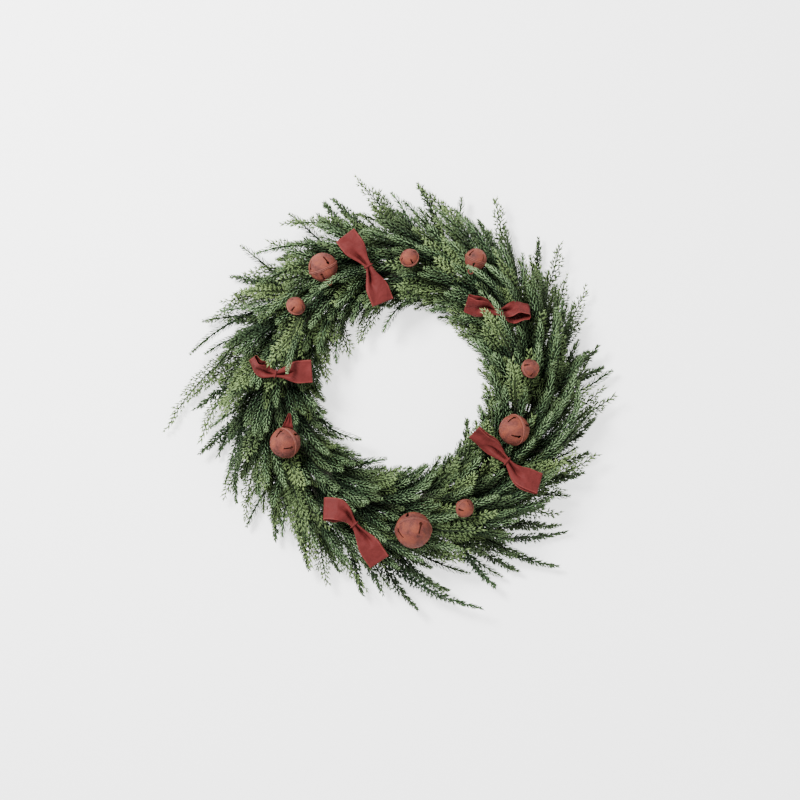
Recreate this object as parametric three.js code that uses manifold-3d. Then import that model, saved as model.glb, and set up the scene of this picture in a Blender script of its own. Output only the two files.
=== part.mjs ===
// A fresh evergreen wreath lying on its back, front face up.
// Boughs of needle tails and of flat cedar fronds are laid round a vine ring, each one
// over the stems of the one before, all pointing counter-clockwise. Jingle bells and
// ribbon bows are wired to the ring between them.
// Millimetres, +Z up. The finished group is centred on its own outline and stands on Z = 0.

import * as THREE from 'three';
import { mergeVertices } from 'three/addons/utils/BufferGeometryUtils.js';
import Module from 'manifold-3d';

const wasm = await Module();
wasm.setup();

// ---------------------------------------------------------------- driving dimensions

const RING_RADIUS = 165; // centreline of the vine ring
const RING_HALF = 11; // from the ring's middle to each of its eight flats
const GAP = 0.35; // clearance between neighbours that touch

const BOUGH_COUNT = 20; // alternately needle tails and cedar fronds
const RING_STEPS = BOUGH_COUNT * 2;
const SADDLE_HALF_ARC = 8.2; // a bough's bound stems reach this far along the ring, degrees
const SADDLE_RIDGE = 24; // their ridges and furrows, from the ring's middle
const SADDLE_FURROW = 20;
const ROOT_DEPTH = 17; // where a shoot starts inside them
const ROOT_ARC = [-6.5, 2.5]; // where along them, degrees

const STEM_RADIUS = 1.7; // bare stem of a shoot
const BARE_PART = 0.26; // share of a shoot that is bare stem
const TAIL_RADIUS = 6.8; // a tail over its needle tips
const TAIL_CORE = 2.1;
const TAIL_PITCH = 11; // from one whorl of needles to the next
const TAIL_LEAN = 9; // how far a needle's tip lies ahead of its root
const TAIL_COLUMNS = 4; // two needles a whorl, crosswise to the whorl before
const FROND_WIDTH = 17; // a cedar frond's half width at its widest
const FROND_RIB = 1.9; // half width of its solid middle
const FROND_PITCH = 15; // from one pair of side sprigs to the next
const FROND_LEAN = 9; // how far a side sprig's tip lies ahead of its root
const FROND_THICK = 1.6;

const FACE_UP = 0.75; // how far a frond turns its flat side up to the front

const FLOOR_CLEARANCE = 1.5; // the foliage stays this far above the surface
const HOLE_TIP_RADIUS = 112; // where the inner tips end round the wreath's hole
const FACE_HEIGHT = 86; // top of the foliage
const FACE_CREST = 190; // radius at which the foliage is highest
const FACE_HALF_WIDTH = 100;
const FACE_EDGE = 14; // height of its inner and outer edge

const RIM_HEIGHTS = [10, 36]; // of the tips round the outline
const HOLE_HEIGHTS = [16, 42]; // of the tips that reach into the hole
const INNER_HEIGHTS = [14, 50]; // of the tips round the hole's edge
const INNER_BAND = 8; // those tips end up to this far outside HOLE_TIP_RADIUS
const FACE_RADII = [135, 262]; // of the tips on the front
const FACE_SINK = 0.78; // the lowest of them stands at this share of the front's height
const RIM_TRAVEL = 22; // from a shoot's root to its tip round the ring, degrees
const HOLE_TRAVEL = 34;
const FACE_TRAVEL = 32;
const LOWEST_TIP = 9;
const LARGEST_SWAY = 1.2; // sideways bow of a shoot, degrees
const LIFTS = 10; // heights that are tried for a tip
const LIFT_STEP = 4.5;
const SIDE_SHIFTS = [0, 2.5, -2.5]; // places beside its own that are tried, degrees
const BALL_STEP = 7; // spacing of the balls that stand for a shoot
const OWN_REACH = 12; // balls at a shoot's end that also keep clear of its own bough

const BELL_WALL = 1.2;
const BIG_BELL = 17; // bells over this radius have finer cups and keyhole slots
const SEAM = { out: 0.9, half: 1.1 }; // the crimped rim where a bell's two cups meet
const SLOT_COUNT = 4; // round the front cup
const SLOT_HALF = 0.055; // half a slot's width, as a share of the bell's radius
const SLOT_REACH = [14, 52]; // latitude at which a slot starts and ends, degrees
const LOOP = { radius: 3.4, wire: 0.9, sunk: 0.4 }; // sunk into the back cup's pole
const WIRE_RADIUS = 0.8;
const LOOP_SLACK = 0.9; // the wire lies this far off the loop's middle, near its end
const WIRE_END = 3; // a wire's free end stands this far out of the loop
const WIRE_BEND = 4; // and turns down this far behind it
const WIRE_CORNER = 1.4;
const FOOT_GAP = GAP + 0.4; // under a wire's square foot
const FOOT_RISE = 16; // a wire stands upright this far between two boughs' bound stems
const FOOT_SPREAD = 1.8; // half the distance between a bow wire's two feet
const SHOULDER_DROP = 7; // a bow wire's legs turn upright this far under the pinch
const HAIRPIN_CORNER = 1.2;
const HAIRPIN_GAP = 0.6; // between the wire and the ribbon it holds
const PELLET_SHARE = 0.09; // a pellet's radius, as a share of its bell's diameter
const PELLET_REACH = 0.92; // it lies where the faceted shell is at least this wide

const RIBBON_THICK = 1;
const RIBBON_WIDTH = 30;
const PINCH_WIDTH = 10;
const PINCH_RISE = 1.6; // half the height of the two ribbon layers at the pinch
const PINCH_TURN = 12; // beyond the pinch a loop has its own direction
const ROLL_SHARE = 0.75; // its roll is complete at this share of its length
const BOW_ROOM = 8; // kept free round the ribbon
const STRAP_ROOM = 6;
const WIRE_ROOM = 0.8;

// Rim tips read round the outline: [angle, radius, kind], t a tail and c a cedar frond.
const RIM_TIPS = [
    [0, 281, 'c'], [6, 283, 't'], [11, 265, 't'], [16, 256, 't'], [26, 263, 't'], [34, 257, 't'],
    [41, 253, 'c'], [45, 240, 'c'], [50, 234, 't'], [55, 248, 't'], [61, 248, 'c'],
    [70, 255, 't'], [78, 262, 'c'], [85, 280, 'c'], [98, 278, 'c'], [106, 252, 't'],
    [113, 281, 't'], [121, 274, 'c'], [127, 284, 'c'], [134, 250, 't'], [138, 278, 't'],
    [144, 270, 'c'], [151, 266, 'c'], [157, 275, 't'], [164, 286, 'c'], [171, 299, 't'],
    [176, 268, 't'], [183, 296, 'c'], [190, 335, 'c'], [195, 292, 'c'], [200, 274, 't'],
    [206, 270, 't'], [211, 290, 'c'], [215, 280, 't'], [220, 285, 'c'], [226, 262, 't'],
    [231, 266, 't'], [237, 262, 'c'], [243, 281, 'c'], [249, 293, 'c'], [254, 289, 't'],
    [259, 280, 'c'], [264, 284, 't'], [269, 280, 't'], [274, 310, 't'], [283, 291, 't'],
    [290, 326, 't'], [295, 308, 't'], [300, 304, 't'], [306, 286, 't'], [311, 330, 't'],
    [316, 304, 't'], [321, 280, 'c'], [328, 266, 'c'], [335, 280, 't'], [341, 277, 't'],
    [348, 272, 't'], [354, 268, 't'],
];
// Tips that reach into the wreath's hole.
const HOLE_TIPS = [
    [109, 82, 't'], [130, 88, 'c'], [147, 88, 'c'], [159, 98, 't'], [174, 104, 'c'],
    [231, 92, 't'], [257, 101, 't'], [291, 113, 't'], [333, 100, 't'],
];
const FACE_COUNT = 40; // tips spread over the front
const INNER_COUNT = 20; // tips round the hole's edge

// Bells: angle and radius of the middle, height, diameter, and the way the front cup
// looks: lean is its compass angle and tilt its angle from straight up, in degrees. Spin
// is where its first slot stands, from the seam's highest point. A bell whose wire goes
// down at another angle than its own gives it as foot.
const BELLS = [
    { angle: 8.5, radius: 177, height: 84, diameter: 25, lean: 24, tilt: 37, spin: -38 },
    { angle: 60.3, radius: 203, height: 76, diameter: 30, lean: 68, tilt: 78, spin: 45 },
    { angle: 86.9, radius: 178, height: 84, diameter: 25, lean: 120, tilt: 28, spin: 0 },
    { angle: 123.4, radius: 198, height: 78, diameter: 40, lean: 113, tilt: 77, spin: 28 },
    { angle: 142.6, radius: 184, height: 84, diameter: 25, lean: 50, tilt: 32, spin: 0 },
    { angle: 205.2, radius: 178, height: 78, diameter: 42, lean: 203, tilt: 48, spin: 60 },
    { angle: 274.4, radius: 196, height: 79, diameter: 50, lean: 273, tilt: 47, spin: 63 },
    { angle: 297.3, radius: 186, height: 84, diameter: 25, lean: 327, tilt: 39, spin: 26 },
    { angle: 339.3, radius: 164, height: 78, diameter: 42, lean: 184, tilt: 52, spin: 60, foot: 351 },
];

// Bows: angle and radius of the pinch, height, and two loops as [compass angle, length,
// roll on to its edge, half its height], in millimetres and degrees.
const BOWS = [
    { angle: 38.6, radius: 166, height: 84, lobes: [[164, 44, 48, 4.5], [0, 48, 48, 8]] },
    { angle: 105.7, radius: 173, height: 86, lobes: [[127, 53, 8, 4], [292, 54, -12, 4]] },
    { angle: 173.7, radius: 175, height: 86, lobes: [[145, 39, 50, 6.5], [4, 50, 6, 4]] },
    { angle: 250.6, radius: 199, height: 84, lobes: [[137, 49, -18, 9], [304, 62, 10, 4]] },
    { angle: 324.9, radius: 175, height: 84, lobes: [[138, 62, 46, 4], [324, 56, -24, 4]] },
];

// The short ribbon behind the lower left bell: stations as [distance out from the bell's
// middle, height over it, width], from under the bell to its gathered end.
const STRAP = {
    bell: 5,
    compass: 81,
    stations: [[12.8, -18.2, 14], [19.3, -11, 16], [22.1, -2.6, 15], [31, 1.5, 9], [41, 3, 2.5]],
};

const COLOURS = {
    vine: { color: 0x6b4a31, roughness: 0.9, metalness: 0 },
    tail: { color: 0x2f5238, roughness: 0.75, metalness: 0 },
    frond: { color: 0x6d8f4e, roughness: 0.75, metalness: 0 },
    bell: { color: 0x9c4a3c, roughness: 0.6, metalness: 0.3 },
    pellet: { color: 0x6f7072, roughness: 0.4, metalness: 0.9 },
    wire: { color: 0x3c4a36, roughness: 0.5, metalness: 0.7 },
    ribbon: { color: 0x8c2f2c, roughness: 0.55, metalness: 0 },
};

// ---------------------------------------------------------------- small helpers

const rad = (degrees) => THREE.MathUtils.degToRad(degrees);
const V = (x, y, z) => new THREE.Vector3(x, y, z);
const polar = (angle, radius, z) => V(radius * Math.cos(rad(angle)), radius * Math.sin(rad(angle)), z);
const mix = (a, b, t) => a + (b - a) * t;
const clamp01 = (t) => Math.min(1, Math.max(0, t));
const smooth = (t) => clamp01(t) ** 2 * (3 - 2 * clamp01(t));
const GOLDEN = (Math.sqrt(5) - 1) / 2;
// An even, repeatable spread over 0..1 in place of a random draw.
const spread = (index, seed) => (0.5 + (index + 1) * GOLDEN + seed * 0.37) % 1;
// The signed turn from one compass angle to another, -180..180.
const turnTo = (from, to) => ((((to - from) % 360) + 540) % 360) - 180;

function geometryOf(points, triangles) {
    const geometry = new THREE.BufferGeometry();
    const numbers = points.flatMap((p) => [p.x, p.y, p.z]);
    geometry.setAttribute('position', new THREE.Float32BufferAttribute(numbers, 3));
    geometry.setIndex(triangles);
    return geometry;
}

// A closed solid of a geometry, ready to be joined or cut.
function solidOf(geometry) {
    const bare = geometry.clone();
    bare.deleteAttribute('normal');
    bare.deleteAttribute('uv');
    const merged = mergeVertices(bare, 1e-4);
    return new wasm.Manifold(new wasm.Mesh({
        numProp: 3,
        vertProperties: new Float32Array(merged.attributes.position.array),
        triVerts: new Uint32Array(merged.index.array),
    }));
}

function geometryFrom(solid) {
    const mesh = solid.getMesh();
    const geometry = new THREE.BufferGeometry();
    const numbers = new Float32Array(mesh.vertProperties);
    geometry.setAttribute('position', new THREE.BufferAttribute(numbers, 3));
    geometry.setIndex(new THREE.BufferAttribute(new Uint32Array(mesh.triVerts), 1));
    return geometry;
}

// Joins solids into one body. A loose scrap or a sealed bubble is left out.
function join(solids) {
    const bodies = solids.reduce((whole, next) => whole.add(next)).decompose();
    return bodies.reduce((best, next) => (next.volume() > best.volume() ? next : best));
}

// The triangles that close a convex end ring.
const fan = (count) => Array.from({ length: count - 2 }, (_, i) => [0, i + 1, i + 2]);

// Skins a row of point rings that all have the same count. The quads of a lattice are
// split so that every second corner stands alone as a spike. A last ring of one point
// closes the end to a tip. An end ring that isn't convex brings the triangles of its cap.
function skin(rings, { lattice = false, cap = null } = {}) {
    const count = rings[0].length;
    const points = rings.flat();
    const at = (ring, column) => ring * count + (column % count);
    const triangles = [];
    const body = rings.filter((ring) => ring.length === count);
    for (let ring = 0; ring < body.length - 1; ring += 1) {
        for (let column = 0; column < count; column += 1) {
            const [a, b] = [at(ring, column), at(ring, column + 1)];
            const [c, d] = [at(ring + 1, column + 1), at(ring + 1, column)];
            const even = (ring + column) % 2 === 0;
            triangles.push(...(lattice && even ? [a, b, d, b, c, d] : [a, b, c, a, c, d]));
        }
    }
    const last = body.length - 1;
    for (const [a, b, c] of cap ?? fan(count)) {
        triangles.push(at(0, a), at(0, c), at(0, b));
        if (body.length === rings.length) triangles.push(at(last, a), at(last, b), at(last, c));
    }
    if (body.length < rings.length) {
        for (let column = 0; column < count; column += 1) {
            triangles.push(at(last, column), at(last, column + 1), points.length - 1);
        }
    }
    return geometryOf(points, triangles);
}

// ---------------------------------------------------------------- how a shoot runs

const boughAngle = (bough) => (bough * 360) / BOUGH_COUNT;
const isTail = (bough) => bough % 2 === 0;
const UP = V(0, 0, 1);

// The bough of the right kind whose base lies nearest to where the shoot should start.
function boughFor(tip) {
    const away = (bough) => Math.abs(turnTo(tip.angle - tip.travel, boughAngle(bough)));
    const fitting = Array.from({ length: BOUGH_COUNT }, (_, bough) => bough)
        .filter((bough) => isTail(bough) === tip.tail);
    return fitting.reduce((best, bough) => (away(bough) < away(best) ? bough : best));
}

// A point of a shoot, t from 0 at the ring to 1 at the tip. It leaves the bound stems
// on its own side of the ring and moves steadily on and away from it.
function shootPoint(shoot, t) {
    const reach = Math.hypot(shoot.radius - RING_RADIUS, shoot.height - RING_HALF);
    const side = Math.atan2(shoot.height - RING_HALF, shoot.radius - RING_RADIUS);
    const away = mix(ROOT_DEPTH, reach, t);
    const sway = shoot.sway * Math.sin(Math.PI * t) ** 2;
    const start = boughAngle(shoot.bough) + shoot.root;
    const angle = start + turnTo(start, shoot.angle) * t + sway;
    return polar(angle, RING_RADIUS + away * Math.cos(side), RING_HALF + away * Math.sin(side));
}

// Position, heading and two cross directions at t.
function shootFrame(shoot, t) {
    const at = shootPoint(shoot, t);
    const ahead = shootPoint(shoot, Math.min(1, t + 0.02));
    const heading = ahead.sub(shootPoint(shoot, Math.max(0, t - 0.02))).normalize();
    const middle = V(at.x, at.y, 0).setLength(RING_RADIUS).setZ(RING_HALF);
    const outward = at.clone().sub(middle).normalize().lerp(UP, FACE_UP);
    const across = heading.clone().cross(outward).normalize();
    return { at, heading, across, outward: across.clone().cross(heading).normalize() };
}

function shootLength(shoot) {
    let length = 0;
    for (let step = 0; step < 10; step += 1) {
        length += shootPoint(shoot, step / 10).distanceTo(shootPoint(shoot, (step + 1) / 10));
    }
    return length;
}

// How far the foliage of a shoot stands out: it fills out behind the bare part and
// narrows again towards the tip.
function tailReach(t) {
    return TAIL_RADIUS * smooth((t - BARE_PART) / 0.12) * mix(1, 0.45, smooth((t - 0.72) / 0.28));
}

function frondReach(t) {
    return FROND_WIDTH * smooth((t - BARE_PART) / 0.3) * mix(1, 0.3, smooth((t - 0.55) / 0.45));
}

// ---------------------------------------------------------------- keeping shoots apart

// Balls that stand for a shoot while its place is found: [x, y, z, radius].
function shootBalls(shoot) {
    const balls = [];
    const steps = Math.ceil(shootLength(shoot) / BALL_STEP);
    for (let step = 1; step <= steps; step += 1) {
        const t = step / steps;
        const frame = shootFrame(shoot, t);
        if (shoot.tail) {
            balls.push([...frame.at, Math.max(STEM_RADIUS, tailReach(t)) + GAP]);
            continue;
        }
        const half = frondReach(t);
        for (const lane of half > 5 ? [-0.85, -0.42, 0, 0.42, 0.85] : [0]) {
            const spot = frame.at.clone().addScaledVector(frame.across, lane * half);
            balls.push([...spot, 2.6 + GAP]);
        }
    }
    return balls;
}

const touches = (a, b) => (
    (a[0] - b[0]) ** 2 + (a[1] - b[1]) ** 2 + (a[2] - b[2]) ** 2 < (a[3] + b[3]) ** 2
);
const clash = (some, others) => some.some((a) => others.some((b) => touches(a, b)));
// Balls strung along a bent line.
function ballsAlong(points, radius) {
    const balls = [];
    for (let i = 1; i < points.length; i += 1) {
        const steps = Math.ceil(points[i].distanceTo(points[i - 1]) / 2.5);
        for (let step = 0; step <= steps; step += 1) {
            balls.push([...points[i - 1].clone().lerp(points[i], step / steps), radius]);
        }
    }
    return balls;
}

// Whether a ball stands in the ring or in the bound stems of another bough.
function inSaddles(ball, bough) {
    const away = Math.hypot(Math.hypot(ball[0], ball[1]) - RING_RADIUS, ball[2] - RING_HALF);
    const angle = THREE.MathUtils.radToDeg(Math.atan2(ball[1], ball[0]));
    const own = Math.abs(turnTo(boughAngle(bough), angle)) < SADDLE_HALF_ARC;
    return !own && away < SADDLE_RIDGE + GAP + ball[3];
}

// How high the front stands at a radius.
function faceTop(radius) {
    const fall = ((radius - FACE_CREST) / FACE_HALF_WIDTH) ** 2;
    return FACE_EDGE + (FACE_HEIGHT - FACE_EDGE) * Math.sqrt(Math.max(0, 1 - fall));
}

// Every tip that is asked for, hand-placed ones first.
function wantedTips() {
    const level = ([low, high], i, seed) => mix(low, high, spread(i, seed));
    const rim = RIM_TIPS.map(([angle, radius, kind], i) => (
        { angle, radius, height: level(RIM_HEIGHTS, i, 1), travel: RIM_TRAVEL, tail: kind === 't' }
    ));
    const hole = HOLE_TIPS.map(([angle, radius, kind], i) => (
        { angle, radius, height: level(HOLE_HEIGHTS, i, 2), travel: HOLE_TRAVEL, tail: kind === 't' }
    ));
    const inner = Array.from({ length: INNER_COUNT }, (_, i) => ({
        angle: (i * 360) / INNER_COUNT,
        radius: HOLE_TIP_RADIUS + INNER_BAND * spread(i, 3),
        height: level(INNER_HEIGHTS, i, 4),
        travel: HOLE_TRAVEL,
        tail: i % 3 !== 0,
    }));
    const front = Array.from({ length: FACE_COUNT }, (_, i) => {
        const radius = level(FACE_RADII, i, 5);
        return {
            angle: (i * 360) / FACE_COUNT,
            radius,
            height: faceTop(radius) * level([FACE_SINK, 1], i * 3, 6),
            travel: FACE_TRAVEL,
            tail: i % 3 !== 0,
        };
    });
    return [...rim, ...hole, ...inner, ...front];
}

// The shoot that a tip asks for, in one of its possible places: by turns higher and lower,
// then the same beside it.
function shootFor(tip, index, attempt) {
    const lift = (attempt % 2 === 0 ? 1 : -1) * LIFT_STEP * Math.ceil((attempt % LIFTS) / 2);
    return {
        ...tip,
        bough: boughFor(tip),
        angle: tip.angle + SIDE_SHIFTS[Math.floor(attempt / LIFTS)],
        height: Math.max(LOWEST_TIP, tip.height + lift),
        root: mix(ROOT_ARC[0], ROOT_ARC[1], spread(index, 7)),
        sway: mix(-LARGEST_SWAY, LARGEST_SWAY, spread(index, 8)),
    };
}

// Whether a shoot's balls reach the floor, the ring, what is in its way or one laid before.
function isBlocked(shoot, balls, obstacles, laid) {
    const misplaced = (ball) => ball[2] - ball[3] < FLOOR_CLEARANCE || inSaddles(ball, shoot.bough);
    if (balls.some(misplaced) || clash(balls, obstacles)) return true;
    return laid.some((other) => {
        const from = other.bough === shoot.bough ? -OWN_REACH : 0;
        return clash(balls.slice(from), other.balls);
    });
}

// Settles each tip in turn: it is lifted, lowered or turned a little until its shoot is
// clear of everything laid before it. One that finds no place is left out.
function layShoots(obstacles) {
    const laid = [];
    wantedTips().forEach((tip, index) => {
        for (let attempt = 0; attempt < LIFTS * SIDE_SHIFTS.length; attempt += 1) {
            const shoot = shootFor(tip, index, attempt);
            const balls = shootBalls(shoot);
            if (!isBlocked(shoot, balls, obstacles, laid)) {
                laid.push({ ...shoot, balls });
                return;
            }
        }
    });
    return laid;
}

// ---------------------------------------------------------------- foliage

function ringOf(frame, count, reachOf, leanOf) {
    return Array.from({ length: count }, (_, column) => {
        const around = (column * 2 * Math.PI) / count;
        const reach = reachOf(column);
        return frame.at.clone()
            .addScaledVector(frame.outward, reach * Math.cos(around))
            .addScaledVector(frame.across, reach * Math.sin(around))
            .addScaledVector(frame.heading, leanOf(column));
    });
}

// A tail: a slim core with every second lattice corner drawn out to a needle.
function tailGeometry(shoot) {
    const length = shootLength(shoot);
    const whorls = Math.max(4, Math.round((length * (1 - BARE_PART)) / TAIL_PITCH));
    const rings = [];
    for (const t of [0, BARE_PART]) {
        rings.push(ringOf(shootFrame(shoot, t), TAIL_COLUMNS, () => STEM_RADIUS, () => 0));
    }
    for (let whorl = 1; whorl < whorls; whorl += 1) {
        const t = mix(BARE_PART, 1, whorl / whorls) - TAIL_LEAN / length * 0.3;
        const reach = Math.max(TAIL_CORE + 1.4, tailReach(t));
        const core = mix(TAIL_CORE, 1.2, smooth((t - 0.7) / 0.3));
        const spike = (column) => (whorl + 1 + column) % 2 === 0;
        const radiusOf = (column) => (spike(column) ? reach : core);
        const leanOf = (column) => (spike(column) ? TAIL_LEAN : 0);
        rings.push(ringOf(shootFrame(shoot, t), TAIL_COLUMNS, radiusOf, leanOf));
    }
    rings.push([shootPoint(shoot, 1).addScaledVector(shootFrame(shoot, 1).heading, TAIL_LEAN * 0.4)]);
    return skin(rings, { lattice: true });
}

// A cedar frond: one thin arched blade cut to the rib, with side sprigs that point ahead.
function frondGeometry(shoot) {
    const length = shootLength(shoot);
    const pairs = Math.max(5, Math.round((length * (1 - BARE_PART)) / FROND_PITCH));
    const points = [];
    const triangles = [];
    const put = (frame, sideways, ahead) => {
        const spot = frame.at.clone().addScaledVector(frame.across, sideways);
        spot.addScaledVector(frame.heading, ahead);
        points.push(spot.clone().addScaledVector(frame.outward, FROND_THICK / 2));
        points.push(spot.addScaledVector(frame.outward, -FROND_THICK / 2));
        return points.length - 2;
    };
    const face = (a, b, c) => triangles.push(a, b, c, a + 1, c + 1, b + 1);
    const wall = (a, b) => triangles.push(a, b, b + 1, a, b + 1, a + 1);
    const stations = [0];
    for (let pair = 0; pair <= pairs; pair += 1) stations.push(mix(BARE_PART, 0.985, pair / pairs));
    const rib = stations.map((t) => {
        const half = mix(FROND_RIB, 1, t);
        const frame = shootFrame(shoot, t);
        return [put(frame, half, 0), put(frame, -half, 0)];
    });
    for (let k = 0; k < rib.length - 1; k += 1) {
        const [[a, b], [d, c]] = [rib[k], rib[k + 1]];
        face(a, d, c);
        face(a, c, b);
        if (k === 0) {
            wall(d, a);
            wall(b, c);
            continue;
        }
        const t = (stations[k] + stations[k + 1]) / 2;
        const frame = shootFrame(shoot, t);
        const reach = Math.max(4, frondReach(t)) * (0.86 + 0.14 * ((k % 2) * 2 - 1));
        const left = put(frame, reach, FROND_LEAN);
        const right = put(frame, -reach, FROND_LEAN);
        face(a, left, d);
        face(b, c, right);
        wall(left, a);
        wall(d, left);
        wall(b, right);
        wall(right, c);
    }
    const tip = put(shootFrame(shoot, 1), 0, 3);
    const [a, b] = rib[rib.length - 1];
    face(a, tip, b);
    wall(tip, a);
    wall(b, tip);
    wall(rib[0][0], rib[0][1]);
    return geometryOf(points, triangles);
}

// The bound stems of a bough: a furrowed saddle over the ring that its shoots grow from.
function saddleGeometry(bough) {
    const corners = [-22.5, 22.5, 67.5, 112.5, 157.5, 202.5];
    const crest = [-22.5, 15, 52.5, 90, 127.5, 165, 202.5];
    const inner = (RING_HALF + GAP) / Math.cos(Math.PI / 8);
    const rings = [-1, 0, 1].map((end) => {
        const angle = boughAngle(bough) + end * SADDLE_HALF_ARC;
        const spot = (side, away) => {
            const [out, up] = [away * Math.cos(rad(side)), away * Math.sin(rad(side))];
            return polar(angle, RING_RADIUS + out, RING_HALF + up);
        };
        const outer = crest.map((side, i) => (
            spot(side, (i + Math.abs(end)) % 2 === 0 ? SADDLE_FURROW : SADDLE_RIDGE)
        ));
        return [...corners.map((side) => spot(side, inner)), ...outer.reverse()];
    });
    const outerAt = (k) => corners.length + crest.length - 1 - k;
    const cap = corners.flatMap((_, k) => [[outerAt(k), k, outerAt(k + 1)], [k, k + 1, outerAt(k + 1)]]);
    return skin(rings, { cap: cap.slice(0, -1) });
}

function boughGeometry(bough, shoots) {
    const grow = isTail(bough) ? tailGeometry : frondGeometry;
    const parts = shoots.map((shoot) => solidOf(grow(shoot)));
    return geometryFrom(join([solidOf(saddleGeometry(bough)), ...parts]));
}

// ---------------------------------------------------------------- bells

const bellCentre = (bell) => polar(bell.angle, bell.radius, bell.height);
const bellAxis = (bell) => polar(bell.lean, Math.sin(rad(bell.tilt)), Math.cos(rad(bell.tilt)));
const loopDrop = (bell) => bell.diameter / 2 + LOOP.radius - LOOP.sunk;
const loopCentre = (bell) => bellCentre(bell).addScaledVector(bellAxis(bell), -loopDrop(bell));

// Turns a bell's Y to its axis and its Z to the seam's highest point.
function bellTurn(bell) {
    const axis = bellAxis(bell);
    const top = UP.clone().addScaledVector(axis, -axis.z).normalize();
    const basis = new THREE.Matrix4().makeBasis(axis.clone().cross(top), axis, top);
    return new THREE.Quaternion().setFromRotationMatrix(basis);
}

function bellProfile(radius, rim) {
    const flat = THREE.MathUtils.radToDeg(SEAM.half / radius);
    const steps = rim && radius > BIG_BELL ? [28, 58, 90] : [50, 90];
    const points = [...steps].reverse().map((latitude) => [radius, -latitude]);
    if (rim) points.push([radius, -flat], [radius + SEAM.out, 0], [radius, flat]);
    else points.push([radius, 0]);
    points.push(...steps.map((latitude) => [radius, latitude]));
    return points.map(([reach, latitude]) => new THREE.Vector2(
        Math.abs(latitude) === 90 ? 0 : reach * Math.cos(rad(latitude)),
        reach * Math.sin(rad(latitude)),
    ));
}

// One slot: a narrow keyhole cut along a meridian, its wide end beside the seam.
function slotSolid(radius, azimuth) {
    const half = radius * SLOT_HALF;
    const [near, far] = SLOT_REACH.map((latitude) => radius * rad(latitude));
    const foot = half * (radius < BIG_BELL ? 1.4 : 2);
    const waist = radius < BIG_BELL ? [] : [[half, near + half * 3]];
    const side = [[half, far], ...waist, [foot, near]];
    const outline = [...side, ...side.map(([across, up]) => [-across, up]).reverse()].reverse();
    const middle = (near + far) / 2;
    const shape = new THREE.Shape(outline.map(([across, up]) => new THREE.Vector2(across, up - middle)));
    const cut = new THREE.ExtrudeGeometry(shape, { depth: radius * 0.8, bevelEnabled: false });
    cut.translate(0, 0, radius * 0.5);
    cut.rotateX(-rad((SLOT_REACH[0] + SLOT_REACH[1]) / 2));
    cut.rotateY(rad(azimuth));
    return solidOf(cut);
}

function bellGeometry(bell) {
    const radius = bell.diameter / 2;
    const sides = radius > BIG_BELL ? 11 : 8;
    let shell = solidOf(new THREE.LatheGeometry(bellProfile(radius, true), sides));
    const loop = new THREE.TorusGeometry(LOOP.radius, LOOP.wire, 4, radius > BIG_BELL ? 8 : 6);
    loop.translate(0, -loopDrop(bell), 0);
    shell = shell.add(solidOf(loop));
    const hollow = new THREE.LatheGeometry(bellProfile(radius - BELL_WALL, false), sides);
    shell = shell.subtract(solidOf(hollow));
    for (let slot = 0; slot < SLOT_COUNT; slot += 1) {
        shell = shell.subtract(slotSolid(radius, bell.spin + (slot * 360) / SLOT_COUNT));
    }
    return geometryFrom(shell);
}

// ---------------------------------------------------------------- wires

const ringTop = (angle, radius) => polar(angle, radius, RING_HALF * 2 + FOOT_GAP);

// The gap between two boughs' bound stems nearest to an angle.
function footAngle(angle) {
    const step = 360 / BOUGH_COUNT;
    return (Math.round(angle / step - 0.5) + 0.5) * step;
}

// A thin wire bent at each of its points, with four sides and mitred bends.
function wireGeometry(points) {
    let across = points[1].clone().sub(points[0]).cross(V(0.31, 0.17, 0.93)).normalize();
    const rings = points.map((at, i) => {
        const before = at.clone().sub(points[Math.max(0, i - 1)]).normalize();
        const after = points[Math.min(points.length - 1, i + 1)].clone().sub(at).normalize();
        const heading = before.add(after).normalize();
        across = across.addScaledVector(heading, -across.dot(heading)).normalize();
        const frame = { at, heading, across: across.clone(), outward: across.clone().cross(heading) };
        return ringOf(frame, 4, () => WIRE_RADIUS, () => 0);
    });
    return skin(rings);
}

// From its free end through the bell's loop and down to the ring.
function bellWirePoints(bell) {
    const loop = loopCentre(bell);
    const through = UP.clone().applyQuaternion(bellTurn(bell));
    const foot = ringTop(footAngle(bell.foot ?? bell.angle), RING_RADIUS);
    if (through.dot(foot.clone().sub(loop)) > 0) through.negate();
    const down = foot.clone().sub(loop).normalize();
    loop.addScaledVector(bellAxis(bell), -LOOP_SLACK);
    return [
        loop.clone().addScaledVector(through, WIRE_END),
        loop.clone().addScaledVector(through, WIRE_CORNER - WIRE_BEND),
        loop.clone().addScaledVector(through, -WIRE_BEND).addScaledVector(down, WIRE_END),
        foot.clone().setZ(foot.z + FOOT_RISE),
        foot,
    ];
}

const bowCentre = (bow) => polar(bow.angle, bow.radius, bow.height);

// A bow's own direction at its pinch, from its first loop to its second.
const bowWay = (bow) => polar(bow.lobes[1][0], 1, 0).sub(polar(bow.lobes[0][0], 1, 0)).normalize();

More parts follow.
